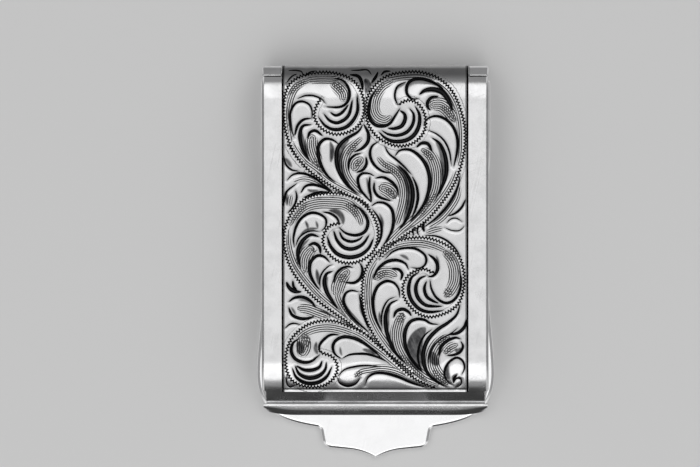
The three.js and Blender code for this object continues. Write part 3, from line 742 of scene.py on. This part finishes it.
    (.4, (-12.1, -5.6), (-11.2, -5), (-10, -4.95), (-9, -5.5), (-8.2, -6.5)),
    (.4, (-12.1, -6.3), (-11.6, -7.4), (-10.5, -7.9), (-9.4, -7.9), (-8.5, -7.6)),
    (.14, (-8, -6.7), (-6.6, -7.2), (-5.2, -8)),
    (.2, (-12.6, -9.3), (-11.9, -8.7), (-11.2, -8.6), (-10.4, -8.8)),
    (.2, (-12.3, -15.9), (-12.4, -16.8), (-12, -17.5), (-11.3, -17.4)),
    # bud in the lower right corner
    (.3, (10.9, -17.3), (10.2, -16.8), (9.7, -15.8), (9.9, -14.7), (10.6, -13.8), (11.5, -13.4),
     (12.3, -13.9), (12.5, -14.9), (12.1, -15.8)),
    (.3, (11.5, -15.8), (11, -16.3), (11, -17)),
    (.2, (11, -16.9), (11.4, -16.3), (12, -16.4), (12, -17.1), (11.4, -17.6)),
]

# Painted shade in the hollows of the relief: greatest width, then the points of the centre line.
PAINTED_SHADE_STROKES = [
    (1, (-10.4, 19), (-10.4, 17.5), (-9.9, 16), (-9.2, 14.6)), (.8, (-6.3, 17), (-6, 15.6), (-6.2, 13.8)),
    (1, (-3.4, 17.4), (-4.6, 16), (-5, 14.2), (-4.6, 12.2), (-3.4, 10.6)),
    (1.1, (-1.4, 25.6), (-1, 24.6), (-1.2, 23.6)), (1.1, (8.4, 17), (9.4, 15.4), (9.7, 13), (9.3, 10.8)),
    (1.3, (2.9, 13.6), (4.4, 11.8), (5, 9.4), (4.6, 7), (3.9, 5.4)),
    (.6, (-1.2, 11.9), (-0.9, 10.6), (-0.9, 9.3)), (.6, (0.5, 7), (1, 5.6), (0.8, 3.6)),
    (.55, (-9.8, 5.8), (-9.5, 5.2), (-9.3, 4.5)), (.5, (-8.3, 5.8), (-8.1, 5.2), (-8, 4.6)),
    (.6, (-10.7, 3.6), (-9.4, 4.5), (-7.8, 4.7)), (.9, (-6.6, 7.2), (-5.3, 7), (-4.6, 6.2), (-4.4, 5.2)),
    (.6, (-9, 3.4), (-10.2, 2.2), (-10.6, 0.8)), (.7, (-8.2, -0.9), (-8, -2.2), (-7.8, -3.4)),
    (.7, (-6.6, -1.9), (-6.9, -3.2), (-6.4, -4.6)), (.6, (-2.2, -5.6), (-1.9, -6.8), (-1.5, -8)),
    (.55, (8.5, 1), (8.8, 0), (8.7, -1)), (.6, (0.6, -6.8), (0.7, -8), (1, -9.2)),
    (.6, (3.4, 1), (4.2, 0.7), (4.8, 0.2)), (.7, (2.2, -5.8), (1.7, -7.6), (1.9, -9.8)),
    (2.1, (7, -9.2), (5.9, -10.6), (5.5, -12.2), (5.7, -13.8), (6.4, -15.2)),
    (1.3, (7.9, -12.6), (8.2, -13.6), (8.8, -14.4)), (.7, (-8.2, -11.1), (-8.3, -12.2), (-8, -13)),
    (1.2, (-10.8, -11.2), (-10.4, -12), (-10.6, -12.8)), (.5, (-8.8, -13.6), (-8, -13.2), (-7.6, -12.8)),
    (.5, (-4.9, -11.8), (-4.8, -12.6), (-4.6, -13.2)), (.8, (-1.8, -12.2), (-0.8, -12.5), (0.3, -13)),
    (.5, (-11.8, -6.2), (-11.3, -7), (-11, -7.6)), (.5, (-11, -5.3), (-9.8, -5.4), (-8.8, -6)),
    (.9, (10.2, -14.2), (10, -15.4), (10.5, -16.4)), (.8, (11.2, -12.2), (11.7, -12.5), (12, -12)),
    (.6, (-9.6, 10.2), (-8.8, 9.9), (-7.8, 10)), (.7, (-12.3, 9.8), (-12.4, 8.8), (-12.3, 7.8)),
    (.7, (-12.6, 14.6), (-12.1, 13.9), (-11.6, 13.2)),
]

# Hatched shading: width of the band, then the points of its centre line, which the cut lines follow.
HATCHING = [
    (1.2, (-11.9, 16.6), (-12.2, 18.6), (-12.4, 20.6), (-12.1, 22.6), (-11.4, 24.2), (-10.4, 25),
     (-9.2, 25.4)),
    (1.1, (-9.4, 25.5), (-7.6, 25.6), (-6, 25.6), (-4.6, 25.9)),
    (1.3, (-5.9, 24.9), (-5.2, 24.4), (-4.5, 23.6), (-4.4, 22.7)),
    (1.1, (-11.6, 16.4), (-10.9, 15.2), (-9.8, 13.9), (-8.6, 13), (-7.2, 12)),
    (1.6, (-8.8, 17.5), (-8.9, 16.4), (-8.6, 15.1), (-8, 13.8)),
    (.9, (-9.2, 13.3), (-7.9, 12.3), (-6.4, 11.1), (-4.8, 10.2), (-3.2, 9.4), (-1.6, 8.6)),
    (1.2, (-1.9, 17.3), (-2.9, 16.4), (-3.9, 15.4), (-4.4, 13.8), (-4.1, 12.2), (-3.2, 10.8), (-1.9, 9.5)),
    (1.3, (-2.9, 13.1), (-2.6, 13.8), (-2, 14.3)),
    (1.4, (2.4, 25.4), (1, 24.6), (0, 23.2), (-0.3, 21.6), (0.2, 20.3), (1.3, 19.8), (2.2, 20.3)),
    (1, (1.4, 25.6), (3, 25.9), (4.6, 26.1), (6.6, 26.1), (8.4, 25.6)),
    (.9, (8.6, 25.2), (10, 24.1), (10.9, 22.8), (11.6, 21.2), (12, 19.2), (12.1, 17), (12, 15),
     (11.6, 13.4)),
    (1.7, (7.9, 22), (9.2, 22), (10.3, 21.2), (11.2, 19.9)),
    (1.5, (6.6, 15.7), (7.7, 14.9), (8.4, 13.4), (8.6, 11.6), (8.3, 9.8), (7.4, 8)),
    (.8, (11.4, 12.8), (10.6, 10.9), (9.4, 9), (7.9, 7.2), (6.3, 5.7), (4.7, 4.6), (3, 3.4)),
    (1, (7.5, 8.3), (6.4, 6.9), (5, 5.5), (3.6, 4.3), (2.2, 2.9), (0.9, 1.6)),
    (1.2, (0.4, 14.6), (1.2, 13.7), (2.6, 12.9), (3.6, 11.8), (4.1, 10.2), (4, 8.4), (3.5, 6.6), (3, 5.2)),
    (1.5, (0.9, 10.4), (1.9, 10), (2.7, 9.2)),
    (.7, (11.9, 10.6), (11.5, 8.9), (10.5, 7.3), (9.2, 5.9), (7.5, 4.8)),
    (.7, (9.4, 4.7), (8.4, 4.5), (7.2, 4.1)),
    (1.5, (-11.9, 5.2), (-11.1, 6.7), (-9.8, 7.9), (-8, 8.4), (-6, 8.4), (-4.2, 8.2), (-3, 7.4),
     (-2.2, 6.3), (-1.9, 5.2)),
    (.9, (-12.1, 4.6), (-12.1, 2.8), (-11.8, 1.2), (-11.2, -0.4), (-10.3, -1.8), (-9.2, -3.2),
     (-7.8, -4.7), (-6.2, -6.1), (-4.4, -7.5), (-2.4, -9)),
    (1.6, (-8.9, 1.9), (-9.6, 1), (-9.9, 0), (-9.8, -1.3)),
    (1.6, (-3.9, -1.3), (-4.6, -2.1), (-5.1, -3.2), (-5.4, -4.5)),
    (1, (-5.3, -4), (-5.1, -5.3), (-4.2, -6.9), (-2.8, -8.5), (-1.2, -10)),
    (.6, (-11.4, 11.2), (-10, 11.6), (-8.6, 11.3), (-7, 10.5)),
    (.6, (-11.7, 9.4), (-11.9, 8.6), (-11.9, 7.8)),
    (1.1, (0.9, 0.9), (2.2, 2), (4.2, 2.6), (6.4, 2.7), (8.2, 2.3), (9.8, 1.6)),
    (1.5, (9.7, 1.5), (10.8, 0.3), (11.3, -1.2), (11.2, -2.8), (10.6, -4), (9.9, -4.8)),
    (1.2, (0.2, 0.4), (-0.8, -1.4), (-1.1, -3.4), (-1.1, -5.4), (-0.8, -7.6), (0.1, -9.6), (1.3, -11.4),
     (2.8, -13.3), (4.6, -15.2), (6.6, -16.6)),
    (1.3, (0, -2.3), (0.9, -1.6), (2, -1.5), (2.9, -1.9)),
    (1.6, (3.9, -7.3), (3.3, -8.6), (3, -10.2), (3.3, -11.9), (4.2, -13.6), (5.4, -15.1), (7, -16.4),
     (8.8, -17.2)),
    (1.6, (10.3, -10.4), (8.9, -11.5), (8.1, -13), (8.1, -14.6), (8.9, -16), (10.2, -17)),
    (1, (9.8, -12.7), (10.5, -12), (11.4, -11.6)),
    (1.1, (-10.9, -10.8), (-9.8, -9.9), (-8.4, -9.3), (-6.6, -9.1), (-4.8, -9.4), (-3, -10)),
    (1, (-3.4, -9.8), (-1.8, -10.6), (-0.2, -11.8), (1.4, -13), (3, -14.3), (4.8, -15.7), (6.6, -16.8)),
    (1.6, (-10.2, -10.6), (-9.9, -11.6), (-10.2, -12.8)),
    (1.3, (-10.7, -6.5), (-9.4, -6.6), (-8, -7.1), (-6.4, -7.7)),
    (.9, (-2.8, -16.2), (-2, -15.4), (-0.6, -15.1), (1, -14.9), (2.8, -15.2), (4.6, -16)),
]

# Cross-hatched ends of the shading: width, then the points of the centre line.
CROSSING = [
    (1.2, (-11.9, 23.4), (-11, 24.6), (-9.8, 25.2)), (1.3, (-5.9, 25), (-5.1, 24.4), (-4.6, 23.6)),
    (.9, (-8.6, 14.6), (-8, 13.4), (-7.2, 12.4)), (1.1, (-2.4, 16.8), (-3.2, 15.9), (-3.9, 14.9)),
    (1, (-2.6, 13.4), (-2.2, 14.1)), (1.4, (-0.1, 23.2), (0.5, 24.4), (1.2, 25)),
    (1.4, (9.2, 21.8), (10.4, 20.8), (11.2, 19.7)), (1.2, (6.8, 15.5), (7.5, 14.9), (8.1, 14.2)),
    (1.1, (8.5, 9.6), (7.4, 8), (6, 6.5)), (1, (0.8, 14.2), (1.6, 13.4), (3, 12.4), (3.8, 11.3)),
    (1.2, (1.4, 10.2), (2.2, 9.7), (2.8, 9)), (1.4, (-11.7, 5.6), (-10.9, 7), (-9.6, 8)),
    (1.4, (-4, 8.1), (-3, 7.4), (-2.6, 6.4)), (1, (-8.7, 1.8), (-8.3, 1.5)),
    (1.4, (-4.3, -1.8), (-4.9, -2.7)), (.8, (-5.1, -5.2), (-4.2, -6.7), (-3, -8.1)),
    (1.4, (0.2, 0.3), (1, 1.2), (1.8, 1.8)), (1.2, (9.8, 1.4), (10.9, 0.2)),
    (1.5, (10.4, -3.8), (10, -4.8)), (1.2, (0.1, -2.3), (1, -1.7), (1.7, -1.6)),
    (1.5, (3.8, -7.3), (3.5, -8.3)), (1.3, (3.6, -12.8), (4.6, -14.3), (6, -15.7), (7.4, -16.8)),
    (1.3, (10, -10.6), (8.9, -11.5)), (1.4, (8.2, -15), (9, -16.2), (10, -17)),
    (1, (9.9, -12.7), (10.7, -12)), (1.5, (-9.9, -10), (-9.6, -11), (-9.4, -11.8)),
    (1.1, (-2.8, -15.9), (-1.9, -15.5)),
]


def smooth_path(corners, steps=7):
    """A Catmull-Rom curve through the corners: each span is the cubic set by its four nearest corners."""
    p = np.array(corners, float)
    p = np.vstack([2 * p[0] - p[1], p, 2 * p[-1] - p[-2]])
    t = np.linspace(0, 1, steps, endpoint=False)[:, None]
    spans = [0.5 * (2 * b + (c - a) * t + (2 * a - 5 * b + 4 * c - d) * t**2 + (3 * b - a - 3 * c + d) * t**3)
             for a, b, c, d in zip(p, p[1:], p[2:], p[3:])]
    return np.vstack([*spans, p[-2:-1]])


def stroke_fields(x, y, strokes, reach, swell):
    """Distance to the nearest stroke's edge, negative inside it, and the place along and across its middle.

    A stroke's half width follows the half sine of its length, raised to the power swell. The distance to
    each straight piece of its centre line is taken less the half width there, and the least is kept.
    """
    edge = np.full((len(y), len(x)), float(reach))
    along, across = np.zeros_like(edge), edge.copy()
    for width, *corners in strokes:
        curve = smooth_path(corners)
        ahead = np.diff(curve, axis=0)
        length = np.linalg.norm(ahead, axis=1)
        run = np.append(0, np.cumsum(length))
        half = width / 2 * np.sin(np.pi * np.clip(run / run[-1], 0.001, 0.999)) ** swell
        for part in np.array_split(np.arange(len(ahead)), max(1, len(ahead) // 20)):
            near = width / 2 + reach
            span = curve[part[0]:part[-1] + 2]
            low, high = span.min(axis=0) - near, span.max(axis=0) + near
            rows = np.nonzero((y > low[1]) & (y < high[1]))[0]
            columns = np.nonzero((x > low[0]) & (x < high[0]))[0]
            if not (len(rows) and len(columns)):
                continue
            step = ahead[part]
            dx = x[columns][None, :, None] - curve[part, 0]
            dy = y[rows][:, None, None] - curve[part, 1]
            t = np.clip((dx * step[:, 0] + dy * step[:, 1]) / length[part] ** 2, 0, 1)
            gap = np.hypot(dx - t * step[:, 0], dy - t * step[:, 1])
            depth = gap - half[part] - t * (half[part + 1] - half[part])
            best = np.argmin(depth, axis=2)[..., None]
            side = np.sign(step[:, 0] * dy - step[:, 1] * dx)
            found = [np.take_along_axis(v, best, 2)[..., 0]
                     for v in (depth, run[part] + t * length[part], gap * side)]
            window = np.ix_(rows, columns)
            closer = found[0] < edge[window]
            for field, value in zip((edge, along, across), found):
                field[window] = np.where(closer, value, field[window])
    return edge, along, across


def faded(edge, soft):
    """1 well inside a stroke, 0 outside it, with a soft rise over the given distance inside its edge."""
    t = np.clip(-edge / soft, 0, 1)
    return t * t * (3 - 2 * t)


def wider(strokes, share):
    """The strokes with every width multiplied by one number."""
    return [(share * width, *corners) for width, *corners in strokes]


def make_panel(material):
    """The engraved face as a grid along X and along the side view, cut down where the strokes run.

    A cut's depth follows its edge distance up to a flat bottom, and the metal leans into it from both banks.
    The last rows stand up as a bright rim over the crease. The sides and the underside close the sheet.
    """
    pitch = CUT_PITCH * 1
    line = panel_line(pitch)
    side_drop = 0.05
    x = np.linspace(side_drop - PANEL_HALF, PANEL_HALF - side_drop, round(2 * PANEL_HALF / pitch))
    x = np.concatenate([[-PANEL_HALF], x, [PANEL_HALF]])
    y = line[:, 0]
    roll_rows = 12
    upper = y >= CREASE_Y
    upper[:roll_rows] = False
    plan_y = np.where(upper, y, 99)
    edge = stroke_fields(x, plan_y, wider(CUTS, 1.1), 0.5, 0.5)[0] - 0.02
    _, border_along, border_across = stroke_fields(x, plan_y, [(0, *path) for path in BORDERS], 0.6, 1)
    hatch_edge, hatch_along, hatch_across = stroke_fields(x, plan_y, wider(HATCHING, 1.5), 0.4, 0.35)
    crossing_edge = stroke_fields(x, plan_y, CROSSING, 0.3, 0.35)[0]
    # Painted shade: a soft field that darkens the hollows of the relief.
    painted_shade_edge = stroke_fields(x, plan_y, wider(PAINTED_SHADE_STROKES, 1.2), 0.3, 0.5)[0]

    drop = np.full_like(edge, -PANEL_PROUD)
    inner = np.zeros_like(edge, dtype=bool)
    inner[roll_rows + 2:-2, 3:-3] = True
    lean = 1 - np.clip(edge / LEAN_WIDTH, 0, 1)
    drop += np.where(inner, LEAN_DEPTH * lean**2 + CUT_DEPTH * faded(edge, 0.3), 0)
    drop[-2:] -= [[0.03], [0.1]]
    drop[:, [0, -1]] += side_drop
    face = np.empty((*edge.shape, 3))
    face[..., 0] = x
    face[..., 1] = np.minimum(y[:, None] - line[:, 2, None] * drop, HINGE_END)
    face[..., 2] = line[:, 1, None] - line[:, 3, None] * drop
    under = moved(line, -PANEL_DEPTH)
    left = np.column_stack([np.full(len(under), -PANEL_HALF), under])
    right = left * [-1, 1, 1]

    rows, count = edge.shape
    grid = strip_faces(rows, count, closed=False)[:, ::-1]
    lefts = rows * count + np.arange(rows)
    rights = lefts + rows
    first = np.arange(rows) * count
    last = first + count - 1
    joined = lambda a, b: np.stack([a[:-1], a[1:], b[1:], b[:-1]], axis=1)
    faces = np.vstack([grid, joined(lefts, first), joined(last, rights), joined(rights, lefts)]).tolist()
    faces.append([*range(count), int(rights[0]), int(lefts[0])])
    faces.append([*range((rows - 1) * count, rows * count)][::-1] + [int(lefts[-1]), int(rights[-1])])
    points = np.vstack([face.reshape(-1, 3), left, right])
    fields = {
        "cut_edge": (edge, 1), "border_along": (border_along, 0), "border_across": (border_across, 1),
        "hatch": (faded(hatch_edge, 0.15), 0), "hatch_along": (hatch_along, 0),
        "hatch_across": (hatch_across, 1), "crossing": (faded(crossing_edge, 0.25), 0),
        "painted_shade": (faded(painted_shade_edge, 0.25), 0),
    }
    for name, (field, spare) in fields.items():
        fields[name] = np.append(field.ravel(), np.full(2 * rows, spare))
    return new_piece("engraved_panel_sheet", points, faces, "front", ["engraved_panel"], "engraved_silver",
                     material, fields, sharp=70)


# ---------------------------------------------------------------- back plate

def bezier(*corners, steps=14):
    """Points on a Bezier curve of any degree, without its last point."""
    t = np.linspace(0, 1, steps, endpoint=False)[:, None]
    n = len(corners) - 1
    return sum(math.comb(n, i) * (1 - t) ** (n - i) * t**i * np.array(c, float)
               for i, c in enumerate(corners))


def half_back_outline():
    """The right half of the outline, from the middle of the hinge end round to the tip of the tab.

    Its corners are offsets from the front plate's side, the lip's edge and the tab's half width.
    """
    shoulder = FRONT_HALF + 0.17
    waist = FRONT_HALF - 0.3
    bulge = FRONT_HALF + 0.77
    bulge_y = LIP_EDGE + 5.9
    heel = bulge - 3.25
    tab = 7.5
    notch = tab + 0.2
    brow = notch + 0.5
    top = BACK_TOP_Y
    low = lambda d: LIP_EDGE - d
    return np.vstack([
        bezier((0, top), (shoulder - 0.8, top), steps=6),
        bezier((shoulder - 0.8, top), (shoulder, top), (shoulder, top - 0.8), steps=8),
        bezier((shoulder, top - 0.8), (shoulder, top - 8), steps=4),
        bezier((shoulder, top - 8), (shoulder, top - 13), (waist, CROWN_Y - 12), (waist, CROWN_Y - 18)),
        bezier((waist, CROWN_Y - 18), (waist, bulge_y + 9), (bulge, bulge_y + 4), (bulge, bulge_y)),
        bezier((bulge, bulge_y), (bulge, bulge_y - 3.1), (heel + 2, low(-0.75)), (heel, low(0.25)), steps=24),
        bezier((heel, low(0.25)), (heel - 1.6, low(1.0)), (brow + 1.6, low(1.4)), (brow, low(1.65))),
        bezier((brow, low(1.65)), (notch + 0.1, low(1.75)), (notch, low(2.2)), steps=8),
        bezier((notch, low(2.2)), (tab, low(3.3)), steps=3),
        bezier((tab, low(3.3)), (tab - 0.1, low(4.1)), (tab - 0.6, low(4.55)), (tab - 1.6, low(4.62))),
        bezier((tab - 1.6, low(4.62)), (tab - 3.9, low(4.84)), steps=4),
        bezier((tab - 3.9, low(4.84)), (2.1, low(4.98)), (0.9, low(5.5)), (0, TAB_TIP)),
        [(0, TAB_TIP)],
    ])


def make_back_plate(material):
    """Loops of the outline, each set in and lifted by a rounded rim, narrower at the tip."""
    half = half_back_outline()
    loop = np.vstack([half, half[1:-1][::-1] * [-1, 1]])[::-1]
    along = np.roll(loop, -1, axis=0) - np.roll(loop, 1, axis=0)
    inward = np.column_stack([-along[:, 1], along[:, 0]])
    inward /= np.linalg.norm(inward, axis=1)[:, None]
    under_edge, rim_depth = 0.12, 0.5
    rim_width = 0.4 + 0.2 * np.clip((np.abs(loop[:, 0]) - 2.5) / 3.0, 0, 1)
    rings = [(under_edge, 0.0), (0.0, under_edge)]
    rings += [(rim_width * d, BACK_THICK - rim_depth * (1 - r)) for r, d in zip(*quarter_round(7))]
    sections = np.array([
        np.column_stack([loop + inward * np.broadcast_to(inset, len(loop))[:, None], np.full(len(loop), z)])
        for inset, z in rings])
    return new_piece("back_plate_sheet", *swept(sections), "back", ["back_plate"], "polished_silver",
                     material)


# ---------------------------------------------------------------- lip, knuckles, pin and springs

def make_lip(material):
    """A bar with a rounded crest and a bowed sloping face, drawn back at its ends along a quarter ellipse."""
    foot_y = riser_line(1)[-1, 0] - 0.03
    crest_y = LIP_EDGE + 1.45
    toe_height, bow = 0.06, 0.08
    corner_length = 4.7
    over = arc_points(crest_y, LIP_TOP - 0.18, 0.18, QUARTER, 0, 6)[:, :2]
    nose = arc_points(crest_y, LIP_TOP - 0.25, 0.25, 0, -LIP_SLOPE, 6)[1:, :2]
    reach, sag = nose[-1] - [LIP_EDGE + toe_height, FRONT_FOOT + toe_height]
    slope = math.atan2(sag, reach)
    part = np.linspace(0, 1, 9)[1:, None]
    face = nose[-1] - part * [reach, sag] + bow * np.sin(np.pi * part) * [-math.sin(slope), math.cos(slope)]
    section = np.vstack([[foot_y + 0.05, FRONT_FOOT + 0.1], over, nose, face, [LIP_EDGE, FRONT_FOOT],
                         [foot_y, FRONT_FOOT]])
    ahead = section[:, 0] < foot_y
    loops = []
    for x in np.sin(np.linspace(-QUARTER, QUARTER, 81)) * LIP_HALF:
        into = max(0.0, (abs(x) - (LIP_HALF - corner_length)) / corner_length)
        shrink = 1 - (1 - math.sqrt(max(0.0, 1 - into**2))) / (foot_y - LIP_EDGE)
        y = np.where(ahead, foot_y + (section[:, 0] - foot_y) * shrink, section[:, 0])
        loops.append(np.column_stack([np.full(len(section), x), y, section[:, 1]]))
    return new_piece("lip_bar_round", *swept(np.array(loops)), "front", ["lip_bar"], "polished_silver",
                     material)


def make_outer_knuckle(side, material):
    """A keyhole section, stepped down at the seam and square at its foot, swept along X with rounded ends."""
    radius = NOSE_RADIUS - 0.08
    seam_gap, seam_depth = 0.12, 0.5
    soft_in, soft_out = 0.08, 0.25
    t = np.linspace(-0.25 * math.pi, math.pi, 49)
    seam_y = HINGE_END - SEAM_FROM_END + seam_gap
    reach = np.where(PIN_Y + radius * np.cos(t) < seam_y, radius - seam_depth, radius)
    ring = np.column_stack([PIN_Y + reach * np.cos(t), PIN_Z + reach * np.sin(t)])
    seat, heel = BACK_THICK + 0.02, BACK_TOP_Y - 0.02
    section = np.vstack([ring, [[PIN_Y - radius, seat], [heel, seat], [heel, PIN_Z - radius]]])
    centre = np.array([PIN_Y, PIN_Z])
    flank = list(zip(*quarter_round(6)))
    inner = [(KNUCKLE_IN + soft_in * (1 - r), 1 - soft_in * d / radius) for r, d in flank[::-1]]
    outer = [(KNUCKLE_OUT - soft_out * (1 - r), 1 - soft_out * d / radius) for r, d in flank]
    stations = inner + outer if side > 0 else [(-x, s) for x, s in (inner + outer)[::-1]]
    loops = [np.column_stack([np.full(len(section), x), centre + (section - centre) * s])
             for x, s in stations]
    name = "left" if side < 0 else "right"
    return new_piece(f"back_knuckle_{name}_tube", *swept(np.array(loops)), "back", [f"back_knuckle_{name}"],
                     "polished_silver", material)


def make_pin(material):
    """A circle swept along X, with its two ends rounded over."""
    end = node_box("hinge_pin")[1][0]
    soft = 0.15
    half = [(end - soft * (1 - r), PIN_RADIUS - soft * d) for r, d in zip(*quarter_round(5))]
    t = np.linspace(0, 4 * QUARTER, 40, endpoint=False)
    loops = [np.column_stack([np.full(len(t), x), PIN_Y + r * np.cos(t), PIN_Z + r * np.sin(t)])
             for x, r in [(-x, r) for x, r in half[::-1]] + half]
    return new_piece("hinge_pin_rod", *swept(np.array(loops)), "back", ["hinge_pin"], "drawn_silver",
                     material)


def make_spring(side, material):
    """A round wire along a coil on X, with a straight leg from each end; the leg's end is rounded.

    The outer leg lies towards the back, the inner one towards the front, and the coil winds between them.
    """
    coil_angle = 2 * math.pi * COIL_TURNS
    turn_length = coil_angle * COIL_RADIUS
    steps_per_turn, leg_steps = 40, 24
    along = np.concatenate([np.linspace(-SPRING_LEG, 0, leg_steps, endpoint=False),
                            np.linspace(0, turn_length, round(COIL_TURNS * steps_per_turn), endpoint=False),
                            np.linspace(turn_length, turn_length + SPRING_LEG, leg_steps + 1)])
    turned = np.clip(along / turn_length, 0, 1)
    angle = coil_angle * turned
    straight = np.abs(along - np.clip(along, 0, turn_length))
    x = side * (COIL_OUTER_X + (COIL_INNER_X - COIL_OUTER_X) * turned)
    centre = np.column_stack([x, PIN_Y + COIL_RADIUS * np.sin(angle) - straight,
                              PIN_Z - COIL_RADIUS * np.cos(angle)])
    ahead = np.gradient(centre, axis=0)
    ahead /= np.linalg.norm(ahead, axis=1)[:, None]
    out = np.column_stack([np.zeros_like(angle), np.sin(angle), -np.cos(angle)])
    out -= ahead * np.sum(out * ahead, axis=1)[:, None]
    out /= np.linalg.norm(out, axis=1)[:, None]
    across = np.cross(ahead, out)
    t = np.linspace(0, 4 * QUARTER, 16, endpoint=False)
    end_shrink, end_pull = 0.7, 0.18
    radius = np.full(len(along), WIRE_RADIUS)
    radius[[0, -1]] = end_shrink * WIRE_RADIUS
    ring = np.cos(t)[None, :, None] * out[:, None, :] + np.sin(t)[None, :, None] * across[:, None, :]
    sections = centre[:, None, :] + radius[:, None, None] * ring
    sections[0] += ahead[0] * end_pull
    sections[-1] -= ahead[-1] * end_pull
    name = "left" if side < 0 else "right"
    spring = new_piece(f"spring_{name}_wire", *swept(sections), None, [f"spring_{name}"], "spring_wire",
                       material)
    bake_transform(spring)
    return spring


# ---------------------------------------------------------------- the scene and the clip

make_camera()
make_floor()
make_room()
make_lights()

handling_wear = make_handling_wear()
drawing_lines = make_drawing_lines()
polished = worn_metal("polished_silver", handling_wear, {"Scratches": 0.6, "Clouding": 1.0},
                      tone(0.74, 0.005), tone(0.12), 0.15, 0.004)
burnished = worn_metal("burnished_silver", handling_wear, {"Scratches": 0.25, "Clouding": 0.35},
                       tone(0.95, 0.005), tone(0.4), 0.1, 0.003)
drawn = worn_metal("drawn_silver", drawing_lines, {"Depth": 1.0},
                   tone(0.8, 0.01), tone(0.25, 0.01), 0.22, 0.004)
wire = worn_metal("spring_wire", drawing_lines, {"Depth": 0.7},
                  tone(0.62, 0.02), tone(0.2, 0.01), 0.2, 0.003)
engraved = make_engraved_silver(handling_wear)

make_front_plate(polished)
make_panel(engraved)
make_back_plate(burnished)
make_lip(polished)
make_pin(drawn)
for left_or_right in (-1, 1):
    make_outer_knuckle(left_or_right, polished)
    make_spring(left_or_right, wire)
for node in ("middle_knuckle", "front_knuckle_left", "front_knuckle_right", "back_keeper_left",
             "back_keeper_right", "front_keeper_left", "front_keeper_right"):
    mesh = frame["nodes"][node].data
    mesh.materials.clear()
    mesh.materials.append(drawn)
